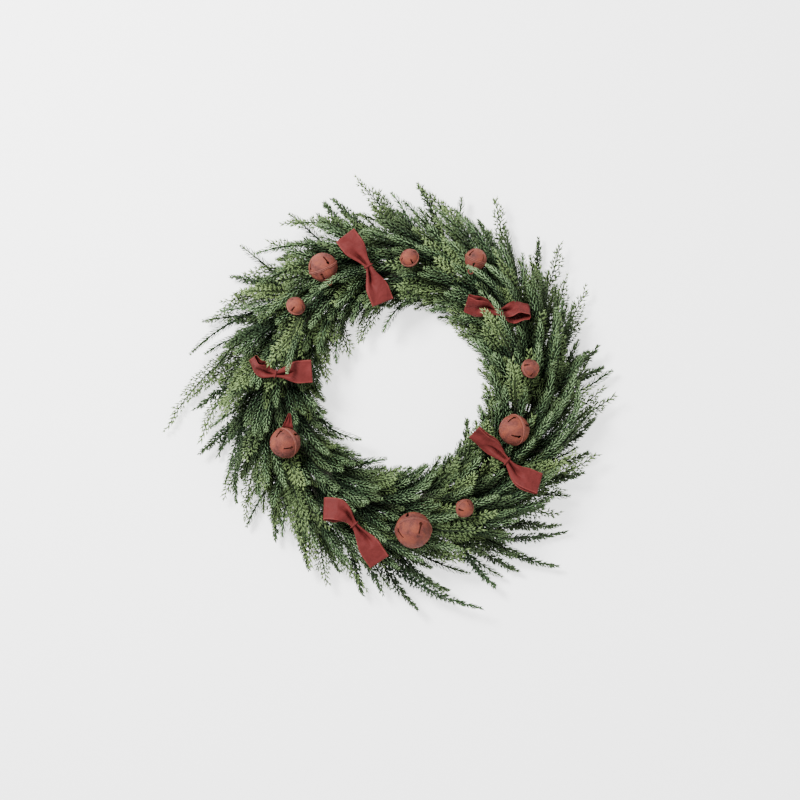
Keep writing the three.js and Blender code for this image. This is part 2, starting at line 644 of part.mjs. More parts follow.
// Over the pinch like a hairpin, both legs down to the ring.
function bowWirePoints(bow) {
    const centre = bowCentre(bow);
    const across = bowWay(bow).cross(UP);
    const turn = footAngle(bow.angle);
    const foot = ringTop(turn, RING_RADIUS);
    const beside = PINCH_WIDTH / 2 + WIRE_RADIUS + HAIRPIN_GAP;
    const above = PINCH_RISE + RIBBON_THICK / 2 + WIRE_RADIUS + HAIRPIN_GAP + 0.2;
    const hand = across.dot(polar(bow.angle, 1, 0)) < 0 ? -1 : 1;
    const outward = polar(turn, hand * FOOT_SPREAD, 0);
    const at = (side, out, height) => centre.clone().addScaledVector(across, side * out).setZ(height);
    const leg = (side) => [
        foot.clone().addScaledVector(outward, side),
        foot.clone().addScaledVector(outward, side).setZ(foot.z + FOOT_RISE),
        at(side, beside, centre.z - SHOULDER_DROP),
        at(side, beside, centre.z + above - HAIRPIN_CORNER),
        at(side, beside - HAIRPIN_CORNER, centre.z + above),
    ];
    return [...leg(1), ...leg(-1).reverse()];
}

// ---------------------------------------------------------------- bows

// The ribbon's two cross directions at a distance along a loop. It turns on to its edge
// towards the loop's end.
function ribbonFrame(bow, side, out) {
    const [compass, length, roll] = bow.lobes[side];
    const along = bowWay(bow).lerp(polar(compass, side === 0 ? -1 : 1, 0), smooth(out / PINCH_TURN));
    const level = UP.clone().cross(along).normalize();
    const turn = rad(roll) * smooth(out / (ROLL_SHARE * length));
    const lateral = level.clone().multiplyScalar(Math.cos(turn)).addScaledVector(UP, Math.sin(turn));
    const normal = UP.clone().multiplyScalar(Math.cos(turn)).addScaledVector(level, -Math.sin(turn));
    return { lateral, normal };
}

const ribbonWidth = (share) => mix(PINCH_WIDTH, RIBBON_WIDTH, smooth(share * 1.05));

// Stations of one loop, out over the top, round the fold and back underneath.
function lobeStations(bow, side) {
    const [compass, length, , rise] = bow.lobes[side];
    const out = [0.03, 0.14, 0.32, 0.6, 0.88].map((share) => {
        const open = Math.sin(Math.PI * (share * 0.75 + 0.12)) * smooth(share * 3);
        return [share, mix(PINCH_RISE, rise, open)];
    });
    const fold = [[0.985, rise * 0.45], [0.985, -rise * 0.45]];
    const back = out.map(([share, height]) => [share, -height]).reverse();
    return [...out, ...fold, ...back].map(([share, height]) => {
        const { lateral, normal } = ribbonFrame(bow, side, share * length);
        const at = bowCentre(bow).add(polar(compass, share * length, 0)).addScaledVector(normal, height);
        return { at, lateral, half: ribbonWidth(share) / 2 };
    });
}

// Skins a flat band through stations that each have a middle, a lateral and a half width.
function bandGeometry(stations) {
    const rings = stations.map((station, i) => {
        const ahead = stations[Math.min(i + 1, stations.length - 1)].at;
        const heading = ahead.clone().sub(stations[Math.max(i - 1, 0)].at).normalize();
        const normal = heading.cross(station.lateral).normalize();
        return [[1, 1], [-1, 1], [-1, -1], [1, -1]].map(([w, n]) => station.at.clone()
            .addScaledVector(station.lateral, w * station.half)
            .addScaledVector(normal, (n * RIBBON_THICK) / 2));
    });
    return skin(rings);
}

const bowGeometry = (bow) => bandGeometry([...lobeStations(bow, 0).reverse(), ...lobeStations(bow, 1)]);

const bowBalls = (bow) => bow.lobes.flatMap(([compass, length], side) => {
    const balls = [];
    for (let step = 0; step <= 5; step += 1) {
        const out = (step / 5) * (length - BOW_ROOM + 2);
        const { lateral } = ribbonFrame(bow, side, out);
        for (const lane of [-0.7, 0, 0.7]) {
            const spot = bowCentre(bow).add(polar(compass, out, 0));
            spot.addScaledVector(lateral, (lane * ribbonWidth(step / 5)) / 2);
            balls.push([...spot, BOW_ROOM]);
        }
    }
    return balls;
});

function strapStations() {
    const lateral = polar(STRAP.compass + 90, 1, 0);
    return STRAP.stations.map(([out, up, width]) => ({
        at: bellCentre(BELLS[STRAP.bell]).add(polar(STRAP.compass, out, up)),
        lateral,
        half: width / 2,
    }));
}

// ---------------------------------------------------------------- ring

function ringGeometry() {
    const corner = RING_HALF / Math.cos(Math.PI / 8);
    const profile = Array.from({ length: 9 }, (_, i) => new THREE.Vector2(
        RING_RADIUS + corner * Math.cos(((i % 8) + 0.5) * (Math.PI / 4)),
        corner * Math.sin(((i % 8) + 0.5) * (Math.PI / 4)),
    ));
    const geometry = new THREE.LatheGeometry(profile, RING_STEPS);
    geometry.rotateX(Math.PI / 2);
    geometry.translate(0, 0, RING_HALF);
    return geometry;
}

// ---------------------------------------------------------------- assembly

const wreath = new THREE.Group();

function addPiece(name, geometry, look) {
    const mesh = new THREE.Mesh(geometry, new THREE.MeshStandardMaterial(COLOURS[look]));
    mesh.name = name;
    wreath.add(mesh);
    return mesh;
}

addPiece('vine_ring', ringGeometry(), 'vine');

BELLS.forEach((bell, i) => {
    const mesh = addPiece(`bell_${i + 1}`, bellGeometry(bell), 'bell');
    mesh.position.copy(bellCentre(bell));
    mesh.quaternion.copy(bellTurn(bell));
    const pelletRadius = bell.diameter * PELLET_SHARE;
    const ball = new THREE.IcosahedronGeometry(pelletRadius, 0);
    const pellet = addPiece(`bell_pellet_${i + 1}`, ball, 'pellet');
    const drop = (bell.diameter / 2 - BELL_WALL) * PELLET_REACH - pelletRadius - GAP;
    pellet.position.copy(bellCentre(bell)).setZ(bell.height - drop);
    addPiece(`bell_wire_${i + 1}`, wireGeometry(bellWirePoints(bell)), 'wire');
});

addPiece('bell_strap', bandGeometry(strapStations()), 'ribbon');

BOWS.forEach((bow, i) => {
    addPiece(`bow_${i + 1}`, bowGeometry(bow), 'ribbon');
    addPiece(`bow_wire_${i + 1}`, wireGeometry(bowWirePoints(bow)), 'wire');
});

const obstacles = [
    ...BELLS.map((bell) => [...bellCentre(bell), bell.diameter / 2 + SEAM.out + 0.6]),
    ...BELLS.map((bell) => [...loopCentre(bell), LOOP.radius + LOOP.wire + 0.5]),
    ...BELLS.flatMap((bell) => ballsAlong(bellWirePoints(bell), WIRE_RADIUS + WIRE_ROOM)),
    ...BOWS.flatMap((bow) => ballsAlong(bowWirePoints(bow), WIRE_RADIUS + WIRE_ROOM)),
    ...BOWS.flatMap((bow) => bowBalls(bow)),
    ...ballsAlong(strapStations().map((station) => station.at), STRAP_ROOM),
];
const shoots = layShoots(obstacles);
for (let bough = 0; bough < BOUGH_COUNT; bough += 1) {
    const own = shoots.filter((shoot) => shoot.bough === bough);
    const kind = isTail(bough) ? 'tail' : 'frond';
    addPiece(`${kind}_bough_${bough + 1}`, boughGeometry(bough, own), kind);
}

wreath.updateMatrixWorld(true);
const bounds = new THREE.Box3().setFromObject(wreath, true);
const middle = bounds.getCenter(V(0, 0, 0));
wreath.position.set(-middle.x, -middle.y, -bounds.min.z);

export default wreath;
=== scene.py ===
"""Fresh evergreen wreath, dressed over its solids.

A ring of bound stems carries needle tails and flat cedar sprays that all sweep one
way round. Nine rust red jingle bells and five satin bows are wired on from the front.
Lengths are millimetres about the ring's own axis until a mesh is made.
"""

import logging
import math
from collections.abc import Sequence
from dataclasses import dataclass, field, replace
from enum import Enum
from functools import cache

import bmesh
import bpy
import numpy as np
from mathutils import Matrix, Vector


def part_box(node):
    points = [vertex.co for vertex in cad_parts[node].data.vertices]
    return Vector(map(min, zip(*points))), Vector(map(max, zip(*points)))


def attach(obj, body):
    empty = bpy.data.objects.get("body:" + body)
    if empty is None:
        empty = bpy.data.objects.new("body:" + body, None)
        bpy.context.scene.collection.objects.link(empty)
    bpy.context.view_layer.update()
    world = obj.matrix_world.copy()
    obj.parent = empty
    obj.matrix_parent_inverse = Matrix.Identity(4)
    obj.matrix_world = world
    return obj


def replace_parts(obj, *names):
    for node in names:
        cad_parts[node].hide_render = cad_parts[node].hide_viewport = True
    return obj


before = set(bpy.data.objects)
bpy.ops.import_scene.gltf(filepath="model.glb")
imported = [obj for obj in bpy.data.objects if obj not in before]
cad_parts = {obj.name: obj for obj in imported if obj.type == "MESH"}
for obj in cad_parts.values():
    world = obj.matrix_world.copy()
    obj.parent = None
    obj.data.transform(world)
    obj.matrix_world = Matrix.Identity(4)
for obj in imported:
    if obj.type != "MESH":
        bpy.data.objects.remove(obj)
log = logging.getLogger("wreath")

Array = np.ndarray
Colour = tuple[float, float, float]

RING_RADIUS = 165.0
RING_HALF = 11.0
BOUGH_COUNT = 20
ROOT_DEPTH = 17.0  # a shoot starts this far from the ring's middle
BARE_PART = 0.22  # share of a shoot that is bare stem
TAIL_REACH = 6.2  # a tail's radius over its needles
FROND_REACH = 17.0  # a spray's half width at its widest
WHORL_PITCH = 4.3  # from one whorl of needles to the next
WHORL_ANGLES = (4.0, 42.0, 90.0, 138.0, 176.0, 270.0)  # 90 is straight to the front
SPRIG_PITCH = 7.0  # from one pair of a spray's side sprigs to the next
SPIKE_PITCH = 1.15  # from one spike of a pointed shoot to the next
FACE_UP = 0.75  # how far a spray turns its flat side to the front
FACE_HEIGHT = 86.0
FACE_CREST = 190.0
FACE_HALF_WIDTH = 100.0
FACE_EDGE = 14.0  # height of the greenery's inner and outer edge
FLOOR_ROOM = 2.0  # greenery lower than this is pressed up from the floor
ROOT_REACH = 6.5  # roots stay this near to their bough's middle, degrees
LOWEST_TIP = 9.0
BOW_ROOM = 8.0  # kept free round the ribbon
WIRE_ROOM = 1.6  # kept free round a wire's middle
FOOT_HEIGHT = RING_HALF * 2 + 0.75  # where the wires end on the ring
FOOT_RISE = 16.0  # a wire stands upright this far between two boughs' stems
FOOT_SPREAD = 1.8  # half the distance between a bow wire's two feet
GOLDEN_SHARE = (math.sqrt(5) - 1) / 2
GOLDEN_TURN = math.pi * (3 - math.sqrt(5))
UP = np.array([0.0, 0.0, 1.0])
BARK_NOTE = np.array([0.3, 0.5, 0.2])  # tint, place and age that bark carries
PINCH_TURN = 12.0  # beyond the pinch a loop has its own direction
ROLL_SHARE = 0.75  # a loop's roll is complete at this share of its length
RIBBON_THICKNESS = 0.0005  # metres
STRAP_BELL = 6  # the bell that the short ribbon hangs behind
LAYOUT_SEED = 11
NEEDLE_SEED = 500  # the first bough's, each later one's a step higher


class Style(Enum):
    """How a shoot of greenery is clothed."""

    TAIL = "t"  # rope of needles
    FROND = "c"  # flat, fern-like cedar spray
    JUNIPER = "j"  # dark, loosely pointed spikes


# Rim tips read round the photo's outline: angle, radius and style.
RIM_TIPS: tuple[tuple[float, float, str], ...] = (
    (0, 281, "c"), (6, 283, "j"), (11, 265, "j"), (16, 256, "t"), (26, 263, "j"), (34, 257, "t"),
    (41, 253, "c"), (45, 240, "c"), (50, 234, "j"), (55, 248, "t"), (61, 248, "c"), (70, 255, "t"),
    (78, 262, "c"), (85, 280, "c"), (98, 278, "c"), (106, 252, "t"), (113, 281, "j"),
    (121, 274, "c"), (127, 284, "c"), (134, 250, "j"), (138, 278, "t"), (144, 270, "c"),
    (151, 266, "c"), (157, 275, "t"), (164, 286, "c"), (171, 299, "t"), (176, 268, "t"),
    (183, 296, "c"), (190, 335, "c"), (195, 292, "c"), (200, 274, "j"), (206, 270, "t"),
    (211, 290, "c"), (215, 280, "j"), (220, 285, "c"), (226, 262, "t"), (231, 266, "t"),
    (237, 262, "c"), (243, 281, "c"), (249, 293, "c"), (254, 289, "t"), (259, 280, "c"),
    (264, 284, "j"), (269, 280, "t"), (274, 310, "j"), (283, 291, "j"), (290, 326, "j"),
    (295, 308, "j"), (300, 304, "j"), (306, 286, "t"), (311, 330, "j"), (316, 304, "j"),
    (321, 280, "c"), (328, 266, "c"), (335, 280, "j"), (341, 277, "j"), (348, 272, "j"),
    (354, 268, "t"),
)
# Tips that reach into the wreath's hole.
HOLE_TIPS: tuple[tuple[float, float, str], ...] = (
    (109, 82, "t"), (130, 88, "c"), (147, 88, "c"), (159, 98, "t"), (174, 104, "c"),
    (231, 92, "t"), (257, 101, "t"), (291, 113, "t"), (333, 100, "j"),
)

# Shoots that lie in front of a bell or a bow: bough, root and tip angle, tip radius and
# height, sway, style and how far the middle stands out.
ACCENTS: tuple[tuple[int, float, float, float, float, float, str, float], ...] = (
    (0, 5, 46, 171.5, 103, 0, "t", -8), (2, -5, 61.5, 188, 99, 0.4, "t", 0),
    (2, -6.5, 55.5, 203, 95, -0.6, "t", 0), (8, -5, 172.5, 158.5, 104, 0, "t", 0),
    (7, 6, 169.9, 184, 97, 0, "c", -16), (1, -6, 41.3, 153, 98, 0, "c", 0),
    (19, 2, 13, 154, 87, 0, "c", 0), (18, 6, 2, 243, 58, -1, "t", 0),
    (6, -6, 129.5, 176, 91, 0, "t", 0),
)
ACCENT_LOOKS = {"tint": 0.88, "haste": 3.2, "girth": 0.74}


# ---------------------------------------------------------------- small helpers


def polar(angle: Array | float, radius: Array | float, height: Array | float) -> Array:
    """Points at a compass angle in degrees, a radius and a height."""
    turn = np.radians(angle)
    parts = np.broadcast_arrays(radius * np.cos(turn), radius * np.sin(turn), height)
    return np.stack(parts, axis=-1).astype(float)


def mix(a: Array | float, b: Array | float, t: Array | float) -> Array | float:
    """The value t of the way from a to b."""
    return a + (b - a) * t


def smooth(t: Array | float) -> Array | float:
    """An eased step from 0 to 1."""
    held = np.clip(t, 0.0, 1.0)
    return held * held * (3 - 2 * held)


def unit(v: Array) -> Array:
    """Vectors scaled to a length of one."""
    return v / np.maximum(np.linalg.norm(v, axis=-1, keepdims=True), 1e-9)


def turn_to(start: float, end: Array | float) -> Array | float:
    """The signed turn from one compass angle to another."""
    return (end - start + 540.0) % 360.0 - 180.0


def spread(index: int, seed: int) -> float:
    """An even, repeatable spread over 0 to 1 in place of a random draw."""
    return (0.5 + (index + 1) * GOLDEN_SHARE + seed * 0.37) % 1


def bough_angle(bough: int) -> float:
    """The compass angle of a bough's bound stems."""
    return bough * 360 / BOUGH_COUNT


def foot_on_ring(angle: float) -> tuple[float, Array]:
    """The gap between two boughs' stems nearest to an angle, and the ring's top there."""
    step = 360 / BOUGH_COUNT
    turn = (math.floor(angle / step) + 0.5) * step
    return turn, polar(turn, RING_RADIUS, FOOT_HEIGHT)


def face_top(radius: Array | float) -> Array | float:
    """How high the greenery stands at a radius."""
    fall = ((radius - FACE_CREST) / FACE_HALF_WIDTH) ** 2
    return FACE_EDGE + (FACE_HEIGHT - FACE_EDGE) * np.sqrt(np.maximum(0.0, 1 - fall))


@cache
def ring_centre() -> Array:
    """The ring's axis in the row frame, in millimetres."""
    low, high = (np.array(corner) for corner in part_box("vine_ring"))
    return (low + high) / 2 * np.array([1000.0, 1000.0, 0.0])


def in_row_frame(points: Array) -> Array:
    """Ring millimetres as metres of the row frame."""
    return (points + ring_centre()) * 0.001


def above_floor(points: Array) -> Array:
    """The same points, those near or under the floor pressed up from it."""
    lifted = points.copy()
    low = np.minimum(points[:, 2], FLOOR_ROOM)
    pressed = FLOOR_ROOM * np.exp((low - FLOOR_ROOM) / FLOOR_ROOM)
    lifted[:, 2] = np.where(points[:, 2] < FLOOR_ROOM, pressed, points[:, 2])
    return lifted


# ---------------------------------------------------------------- shader nodes


@dataclass(frozen=True)
class Value:
    """A number in a material. Operators on it add Math nodes."""

    nodes: "Nodes"
    socket: bpy.types.NodeSocket

    def _with(self, operation: str, *terms: "Value | float") -> "Value":
        """The result of one Math node."""
        sockets = {i: term for i, term in enumerate(terms)}
        made = self.nodes.node("ShaderNodeMath", {"operation": operation}, sockets)
        return Value(self.nodes, made.outputs[0])

    def __add__(self, other: "Value | float") -> "Value":
        """self + other."""
        return self._with("ADD", self, other)

    def __radd__(self, other: float) -> "Value":
        """other + self."""
        return self._with("ADD", other, self)

    def __sub__(self, other: "Value | float") -> "Value":
        """self - other."""
        return self._with("SUBTRACT", self, other)

    def __rsub__(self, other: float) -> "Value":
        """other - self."""
        return self._with("SUBTRACT", other, self)

    def __mul__(self, other: "Value | float") -> "Value":
        """self * other."""
        return self._with("MULTIPLY", self, other)

    def __rmul__(self, other: float) -> "Value":
        """other * self."""
        return self._with("MULTIPLY", other, self)

    def __gt__(self, other: "Value | float") -> "Value":
        """One where self is greater."""
        return self._with("GREATER_THAN", self, other)

    def __pow__(self, other: float) -> "Value":
        """self to a power."""
        return self._with("POWER", self, other)

    def __abs__(self) -> "Value":
        """The size of self."""
        return self._with("ABSOLUTE", self)

    def sine(self) -> "Value":
        """The sine of self."""
        return self._with("SINE", self)


class Nodes:
    """The nodes of one material."""

    def __init__(self, name: str) -> None:
        """Starts a material with no nodes; finish adds its output.

        Args:
            name: the material's name.
        """
        self.material = bpy.data.materials.new(name)
        self.material.use_nodes = True
        self.tree = self.material.node_tree
        self.tree.nodes.clear()

    def node(self, kind: str, settings: dict, sockets: dict) -> bpy.types.Node:
        """Adds a node.

        Args:
            kind: the node's type.
            settings: its own settings, set first; "stops" are a colour ramp's stops.
            sockets: values or links by socket name or number.

        Returns:
            The node.
        """
        made = self.tree.nodes.new(kind)
        for name, setting in settings.items():
            if name == "stops":
                self._fill_ramp(made.color_ramp, setting)
            else:
                setattr(made, name, setting)
        for name, given in sockets.items():
            wanted = given.socket if isinstance(given, Value) else given
            if isinstance(wanted, bpy.types.NodeSocket):
                self.tree.links.new(wanted, made.inputs[name])
            elif isinstance(wanted, tuple) and made.inputs[name].type == "RGBA":
                made.inputs[name].default_value = (*wanted, 1.0)
            else:
                made.inputs[name].default_value = wanted
        return made

    @staticmethod
    def _fill_ramp(ramp: bpy.types.ColorRamp, stops: Sequence[tuple[float, Colour]]) -> None:
        """Gives a colour ramp its stops."""
        while len(ramp.elements) < len(stops):
            ramp.elements.new(1.0)
        for element, (place, colour) in zip(ramp.elements, stops):
            element.position = place
            element.color = (*colour, 1.0)

    def coordinates(self) -> bpy.types.NodeSocket:
        """The object's own coordinates."""
        return self.node("ShaderNodeTexCoord", {}, {}).outputs["Object"]

    def noise(self, scale: float, detail: float = 3.0, rough: float = 0.5) -> Value:
        """A cloudy pattern, scale in clouds a metre."""
        sockets = {"Vector": self.coordinates(), "Scale": scale, "Detail": detail}
        made = self.node("ShaderNodeTexNoise", {}, {**sockets, "Roughness": rough})
        return Value(self, made.outputs[0])

    def cells(self, scale: float) -> Value:
        """Distance to the nearest of scattered points."""
        made = self.node("ShaderNodeTexVoronoi", {}, {"Vector": self.coordinates(), "Scale": scale})
        return Value(self, made.outputs["Distance"])

    def given(self, name: str) -> tuple[Value, Value, Value]:
        """The three numbers that a mesh keeps at each point under a name."""
        read = self.node("ShaderNodeAttribute", {"attribute_name": name}, {})
        split = self.node("ShaderNodeSeparateXYZ", {}, {0: read.outputs["Vector"]})
        return tuple(Value(self, split.outputs[i]) for i in range(3))

    def ramp(self, at: Value, stops: Sequence[tuple[float, Colour]]) -> bpy.types.NodeSocket:
        """A colour picked from stops."""
        return self.node("ShaderNodeValToRGB", {"stops": stops}, {0: at}).outputs[0]

    def blend(
        self,
        share: Value | float,
        a: bpy.types.NodeSocket | Colour,
        b: bpy.types.NodeSocket | Value | Colour,
        how: str = "MIX",
    ) -> bpy.types.NodeSocket:
        """Mixes two colours.

        Args:
            share: how much of b.
            a: the first colour.
            b: the second colour.
            how: the blend type.

        Returns:
            The mixed colour.
        """
        settings = {"data_type": "RGBA", "blend_type": how, "clamp_factor": True}
        return self.node("ShaderNodeMix", settings, {0: share, 6: a, 7: b}).outputs[2]

    def eased(self, at: Value, low: float, high: float) -> Value:
        """An eased step from 0 at low to 1 at high."""
        settings = {"interpolation_type": "SMOOTHSTEP"}
        made = self.node("ShaderNodeMapRange", settings, {0: at, 1: low, 2: high})
        return Value(self, made.outputs[0])

    def relief(self, height: Value, strength: float, distance: float) -> bpy.types.NodeSocket:
        """A normal that follows a height."""
        sockets = {"Strength": strength, "Distance": distance, "Height": height}
        return self.node("ShaderNodeBump", {}, sockets).outputs[0]

    def finish(self, sockets: dict) -> bpy.types.Material:
        """Closes the material with its surface shader.

        Args:
            sockets: the shader's values and links.

        Returns:
            The material.
        """
        surface = self.node("ShaderNodeBsdfPrincipled", {}, sockets)
        self.node("ShaderNodeOutputMaterial", {}, {0: surface.outputs[0]})
        return self.material


# ---------------------------------------------------------------- finishes


@dataclass(frozen=True)
class Foliage:
    """Living green. Each mesh point gives its spray's tint, its place along the needle or scale and its
    place along the spray, all from 0 to 1. The feet of needles and the bases of sprays are painted
    darker, as painted shade."""

    name: str
    tints: tuple[tuple[float, Colour], ...]
    new_growth: Colour
    growth_share: float
    roughness: float = 0.5
    # painted shade: the foot of a needle is painted darker than its tip, as the needles over it shade it
    foot: float = 0.1  # how bright the foot of a needle is
    tip: float = 1.5

    def make(self) -> bpy.types.Material:
        """Builds the material."""
        n = Nodes(self.name)
        tint, along, age = n.given("shade")
        cloud = n.noise(38.0, 2.0)
        colour = n.ramp(tint + (cloud - 0.5) * 0.4, self.tints)
        colour = n.blend((age**3.0) * self.growth_share, colour, self.new_growth)
        speck = n.noise(900.0, 2.0)
        # painted shade: darker towards each needle's foot and each spray's base, lighter at the tips
        light = self.foot + n.eased(along, 0.0, 0.75) * (self.tip - self.foot)
        light = light * (0.3 + n.eased(age, 0.3, 0.9) * 0.7) + (speck - 0.5) * 0.16
        colour = n.blend(1.0, colour, light, "MULTIPLY")
        sheen = self.roughness + (speck - 0.5) * 0.3
        return n.finish({
            "Base Color": colour,
            "Roughness": sheen,
            "Specular IOR Level": 0.1,
            "Normal": n.relief(speck, 0.25, 0.0004),
        })


@dataclass(frozen=True)
class Bark:
    """Rough brown stem."""

    name: str
    deep: Colour
    ridge: Colour
    moss: Colour = (0.025, 0.03, 0.014)

    def make(self) -> bpy.types.Material:
        """Builds the material."""
        n = Nodes(self.name)
        flakes = n.noise(240.0, 6.0, 0.7)
        patches = n.noise(45.0, 3.0)
        colour = n.ramp(flakes, ((0.32, self.deep), (0.66, self.ridge)))
        colour = n.blend(patches * 0.4, colour, self.moss)
        return n.finish({
            "Base Color": colour,
            "Roughness": 0.75 + flakes * 0.2,
            "Normal": n.relief(flakes + n.cells(300.0) * 0.5, 0.7, 0.0012),
        })


@dataclass(frozen=True)
class Rust:
    """Matt, mottled rust red paint on sheet metal, with painted shade along the seam's groove and
    shoulders.
    """

    name: str = "rust_red_paint"
    brick: Colour = (0.09, 0.021, 0.015)
    orange: Colour = (0.16, 0.037, 0.019)
    pink: Colour = (0.128, 0.029, 0.024)
    brown: Colour = (0.036, 0.01, 0.007)
    worn: Colour = (0.21, 0.068, 0.051)
    # painted shade in the seam's groove and along its shoulders
    seam_shade: Colour = (0.012, 0.005, 0.004)

    def make(self) -> bpy.types.Material:
        """Builds the material."""
        n = Nodes(self.name)
        broad = n.noise(70.0, 4.0, 0.6)
        patches = n.noise(190.0, 5.0, 0.65)
        grain = n.noise(800.0, 4.0, 0.7)
        colour = n.ramp(broad, ((0.28, self.brown), (0.42, self.brick), (0.6, self.orange)))
        colour = n.blend(((patches - 0.5) * 5.0) * 0.8, colour, self.pink)
        colour = n.blend((0.46 - grain) * 4.5, colour, self.brown)
        colour = n.blend((grain - 0.56) * 5.0, colour, self.worn)
        rim, groove, _ = n.given("rim_wear_and_seam_shade")
        colour = n.blend(rim * 0.7, colour, self.worn)
        # painted shade: a dark line in the seam's groove and shadow lines along its shoulders
        colour = n.blend(groove * 0.9, colour, self.seam_shade)
        pits = n.cells(700.0)
        return n.finish({
            "Base Color": colour,
            "Roughness": 0.6 + grain * 0.35,
            "Specular IOR Level": 0.25,
            "Normal": n.relief(grain + pits * 0.4 + patches, 0.45, 0.0005),
        })


@dataclass(frozen=True)
class Satin:
    """Brick red satin ribbon. Each mesh point gives its place along and across."""

    name: str = "brick_red_satin"
    body: Colour = (0.112, 0.0195, 0.0185)
    shade: Colour = (0.062, 0.011, 0.0105)
    edge: Colour = (0.16, 0.032, 0.029)
    thread: float = 0.0009  # from one thread of the weave to the next, metres

    def make(self) -> bpy.types.Material:
        """Builds the material."""
        n = Nodes(self.name)
        along, across, _ = n.given("weave")
        weft = (along * (2 * math.pi / self.thread)).sine()
        cloud = n.noise(55.0, 3.0)
        slub = n.noise(1500.0, 2.0)
        creases = n.noise(85.0, 2.0, 0.4)
        colour = n.blend(cloud, self.shade, self.body)
        colour = n.blend((abs(across) > 0.9) * 0.55, colour, self.edge)
        colour = n.blend((slub - 0.5) * 0.6, colour, self.edge)
        return n.finish({
            "Base Color": colour,
            "Roughness": 0.6 + (slub - 0.5) * 0.25,
            "Specular IOR Level": 0.05,
            "Normal": n.relief(weft * 0.1 + slub * 0.33 + creases * 26.0, 0.6, 0.0002),
        })


@dataclass(frozen=True)
class Metal:
    """Bare or lacquered wire and pellets."""

    name: str
    bright: Colour
    dull: Colour
    metallic: float
    roughness: float

    def make(self) -> bpy.types.Material:
        """Builds the material."""
        n = Nodes(self.name)
        blotch = n.noise(260.0, 4.0, 0.6)
        scratch = n.noise(1600.0, 3.0)
        return n.finish({
            "Base Color": n.blend(blotch, self.dull, self.bright),
            "Metallic": self.metallic,
            "Roughness": self.roughness + scratch * 0.25,
            "Normal": n.relief(scratch, 0.2, 0.0002),
        })


@dataclass(frozen=True)
class BowWire:
    """Green florist wire, painted red where it crosses a bow."""

    name: str = "bow_wire"
    red: Colour = (0.1, 0.0175, 0.0165)
    green: Colour = (0.012, 0.022, 0.012)
    red_from: float = 0.0865  # height in metres

    def make(self) -> bpy.types.Material:
        """Builds the material."""
        n = Nodes(self.name)
        split = n.node("ShaderNodeSeparateXYZ", {}, {0: n.coordinates()})
        top = Value(n, split.outputs[2]) > self.red_from
        scratch = n.noise(1600.0, 3.0)
        return n.finish({
            "Base Color": n.blend(top, self.green, self.red),
            "Roughness": 0.6 + scratch * 0.25,
            "Specular IOR Level": 0.1,
            "Normal": n.relief(scratch, 0.2, 0.0002),
        })


@dataclass(frozen=True)
class Paper:
    """The pale studio floor."""

    name: str = "pale_floor"
    white: Colour = (0.93, 0.93, 0.93)
    cloudy: Colour = (0.85, 0.85, 0.85)
    glow: float = 1.35

    def make(self) -> bpy.types.Material:
        """Builds the material."""
        n = Nodes(self.name)
        colour = n.blend(n.noise(3.0) * 0.04, self.white, self.cloudy)
        return n.finish({
            "Base Color": colour,
            "Roughness": 0.9,
            "Emission Color": (1.0, 1.0, 1.0),
            "Emission Strength": self.glow,
        })


NEEDLES = Foliage(
    "needle_green",
    (
        (0.0, (0.005, 0.011, 0.005)),
        (0.35, (0.014, 0.031, 0.016)),
        (0.7, (0.06, 0.112, 0.057)),
        (1.0, (0.138, 0.214, 0.107)),
    ),
    new_growth=(0.16, 0.23, 0.1),
    growth_share=0.5,
)
CEDAR = Foliage(
    "cedar_green",
    (
        (0.0, (0.006, 0.013, 0.006)),
        (0.35, (0.019, 0.036, 0.017)),
        (0.7, (0.065, 0.101, 0.039)),
        (1.0, (0.13, 0.183, 0.066)),
    ),
    new_growth=(0.18, 0.255, 0.095),
    growth_share=0.6,
    roughness=0.55,
    foot=0.34,
)
# stem bark, painted near black as the shade of the gaps that it shows through
SHADE_DARK_STEM_BARK = Bark("stem_bark_painted_shade", (0.008, 0.009, 0.005), (0.03, 0.03, 0.016))
VINE_BARK = Bark("vine_bark", (0.05, 0.028, 0.016), (0.22, 0.14, 0.085))
PELLET_STEEL = Metal("pellet_steel", (0.5, 0.5, 0.5), (0.22, 0.21, 0.2), 0.9, 0.3)
GREEN_WIRE = Metal("green_wire", (0.05, 0.1, 0.05), (0.02, 0.045, 0.025), 0.3, 0.35)


# ---------------------------------------------------------------- mesh making


